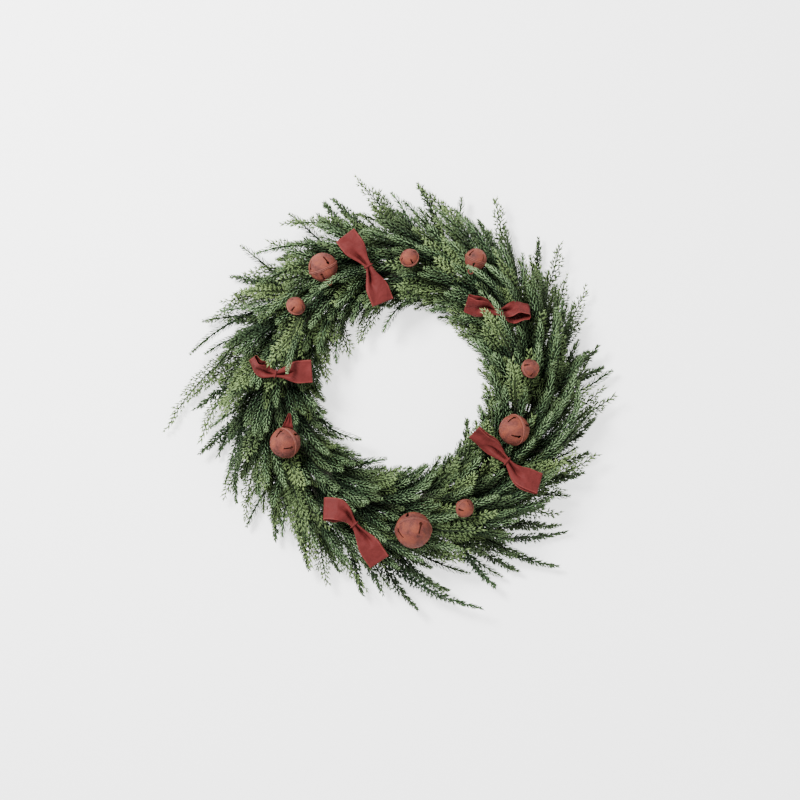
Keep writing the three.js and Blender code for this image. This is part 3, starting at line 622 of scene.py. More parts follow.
@dataclass
class Soup:
    """Closed forms gathered into one mesh, each point with three numbers."""

    points: list[Array] = field(default_factory=list)
    faces: list[Array] = field(default_factory=list)
    notes: list[Array] = field(default_factory=list)
    looks: list[Array] = field(default_factory=list)
    count: int = 0

    def add(self, points: Array, faces: Array, notes: Array, look: int = 0) -> None:
        """Adds triangles.

        Args:
            points: corners, in ring millimetres.
            faces: rows of three corner numbers.
            notes: three numbers for each corner.
            look: the material slot.
        """
        self.points.append(points)
        self.faces.append(faces + self.count)
        self.notes.append(np.broadcast_to(notes, (len(points), 3)))
        self.looks.append(np.full(len(faces), look))
        self.count += len(points)

    def spindles(
        self,
        start: Array,
        heading: Array,
        normal: Array,
        size: Array,
        notes: Array,
        bend: float = 0.0,
        sides: int = 3,
        belly: float = 0.4,
    ) -> None:
        """Adds many slim closed leaves at once.

        Args:
            start: the feet.
            heading: which way each points.
            normal: which way its flat side looks.
            size: rows of length, half width and half thickness.
            notes: rows of tint and age; the place along the leaf goes between.
            bend: how far the belly bows out along the normal, in lengths.
            sides: corners of its section.
            belly: where along it it is widest.
        """
        count = len(start)
        if not count:
            return
        across = unit(np.cross(heading, normal))
        normal = np.cross(across, heading)
        length = size[:, :1]
        middle = start + heading * length * belly + normal * length * bend
        turns = np.arange(sides) * 2 * math.pi / sides + math.pi / 2
        ring = (
            middle[:, None]
            + across[:, None] * (np.cos(turns)[None, :, None] * size[:, 1, None, None])
            + normal[:, None] * (np.sin(turns)[None, :, None] * size[:, 2, None, None])
        )
        tip = start + heading * length
        points = np.concatenate([start[:, None], ring, tip[:, None]], axis=1)
        each = sides + 2
        round_it = [(1 + i, 1 + (i + 1) % sides) for i in range(sides)]
        shape = [(0, b, a) for a, b in round_it] + [(a, b, each - 1) for a, b in round_it]
        faces = (np.array(shape)[None] + np.arange(count)[:, None, None] * each).reshape(-1, 3)
        place = np.array([0.0] + [belly] * sides + [1.0])
        marks = np.empty((count, each, 3))
        marks[..., 0], marks[..., 1], marks[..., 2] = notes[:, :1], place, notes[:, 1:]
        self.add(points.reshape(-1, 3), faces, marks.reshape(-1, 3))

    def tube(self, line: Array, radii: Array, notes: Array, sides: int = 5, look: int = 0) -> None:
        """Adds a closed tapering tube.

        Args:
            line: the points it follows.
            radii: its radius at each.
            notes: three numbers at each point of the line.
            sides: corners round it.
            look: the material slot.
        """
        heading = unit(np.gradient(line, axis=0))
        side = unit(np.cross(heading, UP + np.array([0.0, 0.0123, 0.0])))
        top = np.cross(side, heading)
        turns = np.arange(sides) * 2 * math.pi / sides
        ring = side[:, None] * np.cos(turns)[None, :, None] + top[:, None] * np.sin(turns)[None, :, None]
        body = line[:, None] + ring * radii[:, None, None]
        steps = len(line)
        points = np.concatenate([body.reshape(-1, 3), line[:1], line[-1:]])
        faces = grid_faces(steps, sides, True)
        first, last = steps * sides, steps * sides + 1
        base = (steps - 1) * sides
        caps = [(first, i, (i + 1) % sides) for i in range(sides)]
        caps += [(base + (i + 1) % sides, base + i, last) for i in range(sides)]
        marks = np.broadcast_to(notes, (steps, 3))
        marks = np.concatenate([np.repeat(marks, sides, axis=0), marks[:1], marks[-1:]])
        self.add(points, np.concatenate([faces, np.array(caps)]), marks, look)

    def piece(
        self, name: str, materials: Sequence[bpy.types.Material], note: str = "shade"
    ) -> bpy.types.Object:
        """Makes one object of everything gathered.

        Args:
            name: the object's name.
            materials: its material slots.
            note: the name that the points' numbers are kept under.

        Returns:
            The object, riding on the wreath.
        """
        points = np.concatenate(self.points)
        points = in_row_frame(above_floor(points) if note == "shade" else points)
        faces = np.concatenate(self.faces)
        mesh = bpy.data.meshes.new(name)
        mesh.vertices.add(len(points))
        mesh.vertices.foreach_set("co", points.astype(np.float32).ravel())
        mesh.loops.add(faces.size)
        mesh.loops.foreach_set("vertex_index", faces.astype(np.int32).ravel())
        mesh.polygons.add(len(faces))
        mesh.polygons.foreach_set("loop_start", np.arange(0, faces.size, 3, dtype=np.int32))
        mesh.polygons.foreach_set("material_index", np.concatenate(self.looks).astype(np.int32))
        mesh.polygons.foreach_set("use_smooth", np.ones(len(faces), dtype=bool))
        mesh.update(calc_edges=True)
        kept = mesh.attributes.new(note, "FLOAT_VECTOR", "POINT")
        kept.data.foreach_set("vector", np.concatenate(self.notes).astype(np.float32).ravel())
        for material in materials:
            mesh.materials.append(material)
        made = bpy.data.objects.new(name, mesh)
        bpy.context.scene.collection.objects.link(made)
        log.info("%s: %d faces", name, len(faces))
        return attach(made, "root")


def grid_faces(rows: int, columns: int, closed: bool, wrapped: bool = False) -> Array:
    """Triangles over a grid of points.

    Args:
        rows: rows of points.
        columns: points in each.
        closed: whether each row runs round to its start.
        wrapped: whether the last row joins the first.

    Returns:
        Rows of three corner numbers.
    """
    across = np.arange(columns if closed else columns - 1)
    row = np.arange(rows if wrapped else rows - 1)[:, None]
    after = (row + 1) % rows
    a, b = row * columns + across, row * columns + (across + 1) % columns
    c, d = after * columns + (across + 1) % columns, after * columns + across
    return np.stack([a, b, c, a, c, d], axis=-1).reshape(-1, 3)


# ---------------------------------------------------------------- greenery


@dataclass(frozen=True)
class Shoot:
    """One tail or spray, from the bound stems on the ring to its tip."""

    bough: int
    root: float
    angle: float
    radius: float
    height: float
    sway: float
    style: Style
    tint: float = 0.5
    bulge: float = 0.0  # how far its middle stands out from the ring, millimetres
    haste: float = 1.0  # over one, it climbs first and then lies over
    girth: float = 1.0  # width of a tail, as a share of the usual

    def at(self, t: Array) -> Array:
        """Points of its centreline, t from 0 at the ring to 1 at the tip."""
        out, up = self.radius - RING_RADIUS, self.height - RING_HALF
        side = math.atan2(up, out)
        away = mix(ROOT_DEPTH, math.hypot(out, up), 1 - (1 - t) ** self.haste)
        start = bough_angle(self.bough) + self.root
        sway = self.sway * np.sin(math.pi * t) ** 2
        angle = start + turn_to(start, self.angle) * t + sway
        out = away * math.cos(side) + self.bulge * np.sin(math.pi * t**1.3) ** 2
        return polar(angle, RING_RADIUS + out, RING_HALF + away * math.sin(side))

    def run(self, t: Array) -> tuple[Array, Array, Array, Array]:
        """Position, heading, crosswise and outward directions at t."""
        at = self.at(t)
        heading = unit(self.at(np.minimum(1, t + 0.02)) - self.at(np.maximum(0, t - 0.02)))
        middle = polar(np.degrees(np.arctan2(at[:, 1], at[:, 0])), RING_RADIUS, RING_HALF)
        outward = unit(at - middle)
        outward = mix(outward, UP, FACE_UP)
        across = unit(np.cross(heading, outward))
        return at, heading, across, np.cross(across, heading)

    def length(self) -> float:
        """Its length along the centreline."""
        line = self.at(np.linspace(0, 1, 11))
        return float(np.linalg.norm(np.diff(line, axis=0), axis=1).sum())

    def balls(self) -> tuple[Array, Array]:
        """Centres and radii of balls that stand for it."""
        t = np.linspace(0.15, 1, 16)
        at, _, across, _ = self.run(t)
        if self.style is not Style.FROND:
            return at, np.full(len(t), 5.0)
        half = FROND_REACH * 0.8 * smooth((t - 0.2) / 0.3)[:, None]
        lanes = [at - across * half, at, at + across * half]
        return np.concatenate(lanes), np.full(len(lanes) * len(t), 2.2)


@dataclass
class Greenery:
    """Clothes shoots in needles or scales."""

    soup: Soup
    rng: np.random.Generator

    def clothe(self, shoot: Shoot) -> None:
        """Adds a shoot in its own style."""
        ways = {Style.TAIL: self.tail, Style.FROND: self.frond, Style.JUNIPER: self.juniper}
        ways[shoot.style](shoot)

    def _stem(self, shoot: Shoot, thick: float, thin: float) -> None:
        """The shoot's own stem, bark at its foot and green further on."""
        t = np.linspace(0, BARE_PART + 0.06, 4)
        self.soup.tube(shoot.at(t), np.full(4, thick), BARK_NOTE, look=1)
        t = np.linspace(BARE_PART, 0.985, 12)
        marks = np.stack([np.full(12, shoot.tint * 0.8), np.full(12, 0.35), t * 0.6], axis=1)
        self.soup.tube(shoot.at(t), np.linspace(thick, thin, 12), marks)

    def tail(self, shoot: Shoot) -> None:
        """A rope of incurved needles in whorls, each turned against the one before."""
        length = shoot.length()
        self._stem(shoot, 1.7, 0.9)
        whorls = max(5, int(length * (1 - BARE_PART) / WHORL_PITCH))
        whorl = np.repeat(np.arange(whorls), len(WHORL_ANGLES))
        count = len(whorl)
        place = (whorl + 0.5 + self.rng.normal(0, 0.09, count)) / whorls
        t = mix(BARE_PART, 1, np.clip(place, 0, 1))
        at, heading, across, outward = shoot.run(t)
        turns = np.radians(np.tile(WHORL_ANGLES, whorls) + 16 * (whorl % 2) - 8)
        turns = turns + self.rng.normal(0, 0.09, count)
        radial = across * np.cos(turns)[:, None] + outward * np.sin(turns)[:, None]
        taper = smooth((t - BARE_PART + 0.03) / 0.1) * mix(1, 0.2, np.clip((t - 0.8) / 0.2, 0, 1) ** 1.2)
        lean = np.radians(mix(42, 20, smooth((t - 0.74) / 0.26)) + self.rng.normal(0, 3, count))
        reach = TAIL_REACH * shoot.girth * taper * self.rng.uniform(0.9, 1.14, count)
        lean = lean * mix(1.0, 0.6, np.maximum(0, np.sin(turns)) ** 4)
        long = np.clip(reach / np.sin(np.maximum(lean, 0.5)), 4.5, 12.5)
        long = np.minimum(long, np.maximum(3.5, (1.02 - t) * length + 2.5))
        way = unit(heading * np.cos(lean)[:, None] + radial * np.sin(lean)[:, None])
        size = np.stack([long, self.rng.uniform(0.88, 1.02, count), np.full(count, 0.5)], axis=1)
        # painted shade: needles at a rope's sides get darker tints and those that face the front lighter
        # ones
        painted_front_light = np.maximum(0, np.sin(turns))
        tint = np.clip(shoot.tint * mix(0.25, 1.4, painted_front_light) + self.rng.normal(0, 0.11, count), 0, 1)
        notes = np.stack([tint, t], axis=1)
        self.soup.spindles(at + radial * 0.9, way, radial, size, notes, bend=0.08, belly=0.5)

    def frond(self, shoot: Shoot) -> None:
        """A flat spray: side sprigs on both hands, each with its own scaly twiglets."""
        length = shoot.length()
        self._stem(shoot, 1.3, 0.6)
        pairs = int(length * (1 - BARE_PART) / SPRIG_PITCH)
        side = np.tile([-1.0, 1.0], pairs)
        count = len(side)
        t = BARE_PART + (0.99 - BARE_PART) * (np.arange(count) + 0.5) / count
        at, heading, across, outward = shoot.run(t)
        half = FROND_REACH * smooth((t - BARE_PART + 0.05) / 0.28)
        half = half * mix(0.88, 0.2, smooth((t - 0.5) / 0.5)) * self.rng.uniform(0.62, 1.1, count)
        angle = np.radians(mix(38, 22, smooth((t - 0.4) / 0.6)) + self.rng.normal(0, 5, count))
        long = np.clip(half / np.sin(angle), 4.0, 20.0)
        tilt = self.rng.normal(0.0, 0.16, count)[:, None]
        turned = across * (side * np.sin(angle))[:, None]
        way = unit(heading * np.cos(angle)[:, None] + turned + outward * tilt)
        tint = np.clip(shoot.tint + self.rng.normal(0, 0.06, count), 0, 1)
        self._sprigs(at, way, outward, long, tint, t, 4.2)

    def juniper(self, shoot: Shoot) -> None:
        """Loose pointed spikes all round a stem."""
        length = shoot.length()
        self._stem(shoot, 1.3, 0.6)
        count = int(length * (1 - BARE_PART) / SPIKE_PITCH)
        t = BARE_PART + (0.99 - BARE_PART) * (np.arange(count) + 0.5) / count
        at, heading, across, outward = shoot.run(t)
        turns = np.arange(count) * GOLDEN_TURN + self.rng.normal(0, 0.3, count)
        radial = across * np.cos(turns)[:, None] * 1.25 + outward * np.sin(turns)[:, None] * 0.75
        half = 7.6 * smooth((t - BARE_PART + 0.06) / 0.2) * mix(1, 0.2, np.clip((t - 0.66) / 0.34, 0, 1))
        angle = np.radians(mix(38, 24, smooth((t - 0.5) / 0.5)) + self.rng.normal(0, 6, count))
        long = np.clip(half / np.sin(angle), 3.5, 13.0) * self.rng.uniform(0.8, 1.15, count)
        way = unit(heading * np.cos(angle)[:, None] + radial * np.sin(angle)[:, None])
        tint = np.clip(shoot.tint * 0.45 + self.rng.normal(0, 0.05, count), 0, 1)
        self._sprigs(at, way, unit(outward + radial * 0.3), long, tint, t * 0.84, 3.6)

    def _sprigs(
        self, foot: Array, way: Array, flat: Array, long: Array, tint: Array, age: Array, gap: float
    ) -> None:
        """Scaly sprigs with twiglets on both hands.

        Args:
            foot: where each sprig starts.
            way: which way it points.
            flat: the side its spray turns to the front.
            long: its length.
            tint: its tint.
            age: its place along the shoot.
            gap: from one twiglet to the next.
        """
        scales = np.maximum(1, np.round(long / 7.0).astype(int))
        own = np.repeat(np.arange(len(foot)), scales)
        step = np.concatenate([np.arange(k) for k in scales])
        share = step / scales[own]
        start = foot[own] + way[own] * (share * long[own])[:, None]
        piece = (long / scales)[own] * 1.25
        size = np.stack([piece, mix(1.15, 0.9, share), np.full(len(own), 0.75)], axis=1)
        notes = np.stack([tint[own], mix(age[own], 1, share * 0.35)], axis=1)
        self.soup.spindles(start, way[own], flat[own], size, notes, sides=4)

        twigs = np.maximum(0, np.round(long / gap - 1).astype(int))
        own = np.repeat(np.arange(len(foot)), twigs)
        if not len(own):
            return
        step = np.concatenate([np.arange(k) for k in twigs])
        share = (step + 0.9) / (twigs[own] + 1.2)
        hand = np.where(step % 2 == 0, 1.0, -1.0)
        start = foot[own] + way[own] * (share * long[own])[:, None]
        cross = unit(np.cross(way[own], flat[own]))
        angle = np.radians(self.rng.normal(33, 5, len(own)))
        lift = self.rng.normal(0.05, 0.12, len(own))[:, None]
        point = unit(
            way[own] * np.cos(angle)[:, None]
            + cross * (hand * np.sin(angle))[:, None]
            + flat[own] * lift
        )
        reach = mix(0.56, 0.34, share) * np.clip(long[own], 6, 20)
        reach = reach * self.rng.uniform(0.75, 1.1, len(own))
        thick = self.rng.uniform(0.86, 1.04, len(own))
        size = np.stack([reach, thick, thick * 0.7], axis=1)
        notes = np.stack([tint[own], np.clip(mix(age[own], 1, 0.4), 0, 1)], axis=1)
        self.soup.spindles(start, point, flat[own], size, notes, sides=4, belly=0.42)


@dataclass
class BoundStems:
    """The stems of one bough where they are bound over the ring."""

    bough: int
    half_arc: float = 7.3
    inner: float = 12.3
    furrow: float = 19.6
    ridge: float = 23.4
    ridges: int = 9

    def add_to(self, soup: Soup) -> None:
        """Adds the furrowed sleeve, open underneath where the wreath rests."""
        round_it = np.radians(np.linspace(-22.5, 202.5, 73))
        along = np.linspace(-1, 1, 15)
        turn, way = np.meshgrid(round_it, along, indexing="ij")
        bundle = np.abs(np.sin(turn * self.ridges + way * 0.8 + self.bough)) ** 0.6
        outer = mix(self.furrow, self.ridge, bundle) - 2.6 * np.abs(way) ** 6
        centre = bough_angle(self.bough)
        shell = self._sheet(turn, way, outer, centre)
        lining = self._sheet(turn, way, np.full_like(outer, self.inner), centre)
        rows, columns = turn.shape
        faces = grid_faces(rows, columns, False)
        count = rows * columns
        edge = np.concatenate([
            np.arange(columns),
            np.arange(1, rows) * columns + columns - 1,
            (rows - 1) * columns + np.arange(columns - 2, -1, -1),
            np.arange(rows - 2, 0, -1) * columns,
        ])
        after = np.roll(edge, -1)
        rim = np.concatenate([
            np.stack([edge, after + count, after], axis=1),
            np.stack([edge, edge + count, after + count], axis=1),
        ])
        everything = np.concatenate([faces[:, ::-1], faces + count, rim[:, ::-1]])
        soup.add(np.concatenate([shell, lining]), everything, BARK_NOTE, 1)

    def _sheet(self, turn: Array, way: Array, radius: Array, centre: float) -> Array:
        """A curved sheet of points at a distance from the ring's middle."""
        angle = centre + way * self.half_arc
        spots = polar(angle, RING_RADIUS + radius * np.cos(turn), RING_HALF + radius * np.sin(turn))
        return spots.reshape(-1, 3)


@dataclass
class KeepClear:
    """Balls that greenery stays out of."""

    centres: list[Array] = field(default_factory=list)
    radii: list[float] = field(default_factory=list)

    def add(self, centre: Array, radius: float) -> None:
        """Adds a ball."""
        self.centres.append(np.asarray(centre, float))
        self.radii.append(radius)

    def string(self, line: Array, radius: float, step: float = 2.5) -> None:
        """Adds balls strung along a bent line.

        Args:
            line: its corners.
            radius: the balls' radius.
            step: the furthest that one ball lies from the next.
        """
        for start, end in zip(line, line[1:]):
            count = math.ceil(np.linalg.norm(end - start) / step)
            for share in np.linspace(0, 1, count + 1):
                self.add(mix(start, end, share), radius)

    def touches(self, spots: Array, reach: Array) -> bool:
        """Whether any of some balls, given as centres and radii, meets one of these."""
        apart = np.linalg.norm(spots[:, None] - np.array(self.centres)[None], axis=2)
        return bool((apart < reach[:, None] + np.array(self.radii)[None]).any())

    def blocks(self, shoot: Shoot) -> bool:
        """Whether a shoot would stand in one of the balls."""
        return self.touches(*shoot.balls())


@dataclass(frozen=True)
class Tip:
    """Where a shoot of the solids should end."""

    angle: float
    radius: float
    height: float
    travel: float  # from the shoot's root to its tip round the ring, degrees
    style: Style

    def bough(self) -> int:
        """The bough of its kind whose stems lie nearest to where its shoot starts."""
        start = self.angle - self.travel
        fitting = range(self.style is Style.FROND, BOUGH_COUNT, 2)
        return min(fitting, key=lambda bough: abs(turn_to(start, bough_angle(bough))))


@dataclass
class SolidLayout:
    """Lays the shoots that the solids have, by the solids' own rule.

    Each tip in turn is lifted, lowered or turned a little until its shoot is clear of the
    bells, the bows, their wires and the shoots laid before it. One with no place is left out.
    """

    in_the_way: KeepClear
    taken: dict[int, KeepClear] = field(default_factory=dict)
    rim_heights: tuple[float, float] = (10, 36)
    hole_heights: tuple[float, float] = (16, 42)
    inner_heights: tuple[float, float] = (14, 50)
    inner_radii: tuple[float, float] = (112, 120)
    face_radii: tuple[float, float] = (135, 262)
    face_levels: tuple[float, float] = (0.78, 1)
    rim_travel: float = 22
    hole_travel: float = 34
    face_travel: float = 32
    inner_count: int = 20
    face_count: int = 40
    frond_every: int = 3  # of the tips that the photo doesn't give
    root_arc: tuple[float, float] = (-6.5, 2.5)
    sways: tuple[float, float] = (-1.2, 1.2)
    lifts: int = 10  # heights that are tried for a tip
    lift_step: float = 4.5
    side_shifts: tuple[float, ...] = (0, 2.5, -2.5)
    ball_step: float = 7
    own_reach: int = 12  # balls at a shoot's end that also keep clear of its own bough
    floor_clearance: float = 1.5
    gap: float = 0.35
    bare_part: float = 0.26
    stem_radius: float = 1.7
    tail_radius: float = 6.8
    frond_ball: float = 2.6
    frond_lanes: tuple[float, ...] = (-0.85, -0.42, 0, 0.42, 0.85)
    narrow_frond: float = 5  # half the width up to which one lane is enough
    stems_half_arc: float = 8.2
    stems_reach: float = 24

    def lay(self) -> list[Shoot]:
        """Lays every shoot that finds a place, and gives them bough by bough."""
        settled = [self._settle(tip, index) for index, tip in enumerate(self._tips())]
        found = [self._rounded(shoot) for shoot in settled if shoot]
        return sorted(found, key=lambda shoot: (shoot.bough, shoot.root, shoot.angle))

    def _tips(self) -> list[Tip]:
        """Every tip that is asked for, those of the photo first."""
        tips = []
        for index, (angle, radius, style) in enumerate(RIM_TIPS):
            height = mix(*self.rim_heights, spread(index, 1))
            tips.append(Tip(angle, radius, height, self.rim_travel, Style(style)))
        for index, (angle, radius, style) in enumerate(HOLE_TIPS):
            height = mix(*self.hole_heights, spread(index, 2))
            tips.append(Tip(angle, radius, height, self.hole_travel, Style(style)))
        for index in range(self.inner_count):
            radius = mix(*self.inner_radii, spread(index, 3))
            height = mix(*self.inner_heights, spread(index, 4))
            angle = index * 360 / self.inner_count
            tips.append(Tip(angle, radius, height, self.hole_travel, self._style(index)))
        for index in range(self.face_count):
            radius = mix(*self.face_radii, spread(index, 5))
            height = face_top(radius) * mix(*self.face_levels, spread(index * 3, 6))
            angle = index * 360 / self.face_count
            tips.append(Tip(angle, radius, height, self.face_travel, self._style(index)))
        return tips

    def _style(self, index: int) -> Style:
        """The style of a tip that the photo doesn't give."""
        return Style.TAIL if index % self.frond_every else Style.FROND

    def _settle(self, tip: Tip, index: int) -> Shoot | None:
        """The first of a tip's possible places that is free, if there is one."""
        for attempt in range(self.lifts * len(self.side_shifts)):
            shoot = self._attempt(tip, index, attempt)
            spots, reach = self._balls(shoot)
            if self._blocked(shoot.bough, spots, reach):
                continue
            taken = self.taken.setdefault(shoot.bough, KeepClear())
            for spot, radius in zip(spots, reach):
                taken.add(spot, radius)
            return shoot
        return None

    def _attempt(self, tip: Tip, index: int, attempt: int) -> Shoot:
        """The shoot of a tip in one of its possible places, by turns higher and lower."""
        side, rung = divmod(attempt, self.lifts)
        lift = self.lift_step * math.ceil(rung / 2) * (-1 if rung % 2 else 1)
        height = max(LOWEST_TIP, tip.height + lift)
        root = mix(*self.root_arc, spread(index, 7))
        sway = mix(*self.sways, spread(index, 8))
        angle = tip.angle + self.side_shifts[side]
        return Shoot(tip.bough(), root, angle, tip.radius, height, sway, tip.style)

    def _balls(self, shoot: Shoot) -> tuple[Array, Array]:
        """Centres and radii of balls that stand for a shoot of the solids."""
        steps = math.ceil(shoot.length() / self.ball_step)
        t = np.arange(1, steps + 1) / steps
        at, _, across, _ = shoot.run(t)
        if shoot.style is not Style.FROND:
            reach = self.tail_radius * smooth((t - self.bare_part) / 0.12)
            reach = reach * mix(1, 0.45, smooth((t - 0.72) / 0.28))
            return at, np.maximum(self.stem_radius, reach) + self.gap
        half = FROND_REACH * smooth((t - self.bare_part) / 0.3)
        half = half * mix(1, 0.3, smooth((t - 0.55) / 0.45))
        spots = [
            at[step] + across[step] * lane * half[step]
            for step in range(steps)
            for lane in (self.frond_lanes if half[step] > self.narrow_frond else (0,))
        ]
        return np.array(spots), np.full(len(spots), self.frond_ball + self.gap)

    def _blocked(self, bough: int, spots: Array, reach: Array) -> bool:
        """Whether a shoot's balls reach the floor, stems, what is in the way or a shoot."""
        if (spots[:, 2] - reach < self.floor_clearance).any():
            return True
        if self._in_stems(bough, spots, reach) or self.in_the_way.touches(spots, reach):
            return True
        for other, taken in self.taken.items():
            first = -self.own_reach if other == bough else 0
            if taken.touches(spots[first:], reach[first:]):
                return True
        return False

    def _in_stems(self, bough: int, spots: Array, reach: Array) -> bool:
        """Whether a ball stands in the ring or in the bound stems of another bough."""
        out = np.hypot(spots[:, 0], spots[:, 1]) - RING_RADIUS
        away = np.hypot(out, spots[:, 2] - RING_HALF)
        angle = np.degrees(np.arctan2(spots[:, 1], spots[:, 0]))
        foreign = np.abs(turn_to(bough_angle(bough), angle)) >= self.stems_half_arc
        return bool((foreign & (away < self.stems_reach + self.gap + reach)).any())

    @staticmethod
    def _rounded(shoot: Shoot) -> Shoot:
        """The shoot to the millimetre and to a tenth of a degree."""
        return replace(
            shoot,
            root=round(shoot.root, 1),
            angle=round(shoot.angle, 1),
            radius=round(shoot.radius),
            height=round(shoot.height),
            sway=round(shoot.sway, 1),
        )


@dataclass(frozen=True)
class FillLayer:
    """A layer of shoots between and under the ones that the solids have."""

    count: int
    inner: float  # radius of its innermost tips
    outer: float
    lowest: float  # height of its lowest tips
    highest: float
    of_face: bool  # whether those heights are shares of the face's own
    travel: tuple[float, float]
    # painted shade: low for the layers that lie under the others, higher for the face rows on top
    tint: float


# Each layer's tint is painted shade: near black for the layers under the others, lighter for those on
# top.
LAYERS = (
    FillLayer(150, 186, 238, 10, 24, False, (18, 30), 0.05),
    FillLayer(150, 226, 262, 14, 30, False, (18, 28), 0.1),
    FillLayer(48, 262, 300, 12, 30, False, (16, 24), 0.25),
    FillLayer(96, 108, 126, 10, 28, False, (24, 34), 0.05),
    FillLayer(64, 122, 142, 22, 62, False, (24, 34), 0.06),
    FillLayer(110, 190, 262, 26, 50, False, (18, 30), 0.22),
    FillLayer(66, 110, 132, 28, 56, False, (24, 36), 0.2),
    FillLayer(140, 128, 236, 0.45, 0.7, True, (20, 32), 0.1),
    FillLayer(60, 124, 258, 0.74, 0.88, True, (22, 36), 0.4),
    *(
        FillLayer(round(radius / 12.2), radius - 4, radius + 4, 0.9, 1.03, True, (25, 34), 0.55)
        for radius in range(126, 254, 14)
    ),
)


@dataclass
class Boughs:
    """All the boughs of the wreath: the shoots of the solids and those between."""

    layout: SolidLayout
    clear: KeepClear
    rng: np.random.Generator
    shoots: list[Shoot] = field(default_factory=list)
    tries: int = 8  # places that are tried for a shoot between the others
    drop_step: float = 5.0
    side_step: float = 3.0
    # painted shade: the under layers are painted darker than this
    low_tint: float = 0.15  # layers darker than this lie under the others
    face_ferns: float = 0.2  # share of sprays among a face layer's shoots
    side_ferns: float = 0.16
    juniper_from: float = 245.0
    junipers: float = 0.4  # share of pointed shoots among the tails out there

    def plan(self) -> None:
        """Lays every shoot."""
        for shoot in self.layout.lay():
            tint = self._tint(0.5, shoot.angle, shoot.radius)
            self.shoots.append(replace(shoot, tint=tint))
        log.info("%d shoots of the solids", len(self.shoots))
        for *place, style, bulge in ACCENTS:
            self.shoots.append(Shoot(*place, Style(style), bulge=bulge, **ACCENT_LOOKS))
        for number, layer in enumerate(LAYERS):
            self._fill(layer, number)

    def _tint(self, middle: float, angle: float, radius: float) -> float:
        """A shoot's tint. The tips of the outline are darkest on the right."""
        right = max(0.0, math.cos(math.radians(angle - 20))) * float(smooth((radius - 225) / 45))
        return float(np.clip(self.rng.normal(middle - 0.34 * right, 0.25), 0.03, 0.97))

    def _fill(self, layer: FillLayer, number: int) -> None:
        """Spreads the shoots of one layer evenly round the ring."""
        laid = 0
        for index in range(layer.count):
            angle = (index + number * 0.5 + self.rng.uniform(-0.22, 0.22)) * 360 / layer.count
            for attempt in range(self.tries):
                shoot = self._try(layer, angle, spread(index, number), attempt)
                if not self.clear.blocks(shoot):
                    self.shoots.append(shoot)
                    laid += 1
                    break
        log.info("layer %d: %d of %d shoots", number, laid, layer.count)

    def _try(self, layer: FillLayer, angle: float, share: float, attempt: int) -> Shoot:
        """A shoot of a layer in one of its possible places.

        Args:
            layer: the layer.
            angle: where its tip should be.
            share: how far out it should be within the layer.
            attempt: how many places were tried before.

        Returns:
            The shoot.
        """
        radius = mix(layer.inner, layer.outer, share)
        height = mix(layer.lowest, layer.highest, self.rng.random())
        if layer.of_face:
            height = face_top(radius) * height
        height = max(LOWEST_TIP, height - self.drop_step * attempt)
        spot = angle + (attempt % 3 - 1) * self.side_step
        low = layer.tint < self.low_tint
        ferns = self.face_ferns if layer.of_face else self.side_ferns
        style = Style.FROND if self.rng.random() < (0.0 if low else ferns) else Style.TAIL
        outer = style is Style.TAIL and radius > self.juniper_from
        if outer and self.rng.random() < self.junipers:
            style = Style.JUNIPER
        left = max(0.0, math.cos(math.radians(spot - 160))) * float(smooth((radius - 190) / 60))
        wanted = spot - self.rng.uniform(*layer.travel) * (1 - 0.55 * left)
        if low:
            bough = round(wanted * BOUGH_COUNT / 360) % BOUGH_COUNT
        else:
            parity = 1 if style is Style.FROND else 0
            bough = round((wanted * BOUGH_COUNT / 360 - parity) / 2) * 2 % BOUGH_COUNT + parity
        root = float(np.clip(turn_to(bough_angle(bough), wanted), -ROOT_REACH, ROOT_REACH))
        tint = self._tint(layer.tint, spot, radius)
        return Shoot(bough, root, spot, radius, height, self.rng.uniform(-1.5, 1.5), style, tint)

    def build(self) -> None:
        """Makes one piece for each bough."""
        bark = SHADE_DARK_STEM_BARK.make()
        greens = {0: NEEDLES.make(), 1: CEDAR.make()}
        for bough in range(BOUGH_COUNT):
            soup = Soup()
            greenery = Greenery(soup, np.random.default_rng(NEEDLE_SEED + bough))
            BoundStems(bough).add_to(soup)
            for shoot in self.shoots:
                if shoot.bough == bough:
                    greenery.clothe(shoot)
            kind = ("tail", "frond")[bough % 2]
            made = soup.piece(f"{kind}_foliage_{bough + 1}", [greens[bough % 2], bark])
            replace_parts(made, f"{kind}_bough_{bough + 1}")


# ---------------------------------------------------------------- ring and wires


@dataclass
class VineRing:
    """Seven vines twisted into a ring, all inside the solid ring's section."""

    twists: int = 9
    strand_radius: float = 3.9
    strand_place: float = 6.9
    steps: int = 420
    sides: int = 10

    def build(self) -> bpy.types.Object:
        """Makes the ring."""
        soup = Soup()
        self._strand(soup, 0.0, 0.0)
        for strand in range(6):
            self._strand(soup, strand * math.pi / 3, self.strand_place)
        made = soup.piece("vine_bundle", [VINE_BARK.make()])
        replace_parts(made, "vine_ring")
        return made

    def _strand(self, soup: Soup, phase: float, place: float) -> None:
        """Adds one vine, knobbly along its length."""
        turn = np.linspace(0, 2 * math.pi, self.steps, endpoint=False)
        spin = phase + self.twists * turn
        thick = self.strand_radius + 0.16 * np.sin(turn * 61 + phase * 7)
        round_it = np.arange(self.sides) * 2 * math.pi / self.sides
        cross = place * np.cos(spin)[:, None] + thick[:, None] * np.cos(round_it)
        rise = place * np.sin(spin)[:, None] + thick[:, None] * np.sin(round_it)
        points = polar(np.degrees(turn)[:, None], RING_RADIUS + cross, RING_HALF + rise)
        faces = grid_faces(self.steps, self.sides, True, True)
        soup.add(points.reshape(-1, 3), faces[:, ::-1], np.array([0.4, 0.5, 0.3]))


def dress(name: str, material: bpy.types.Material) -> None:
    """Gives a solid that stays a finer finish."""
    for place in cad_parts[name].material_slots:
        place.material = material


# ---------------------------------------------------------------- bells


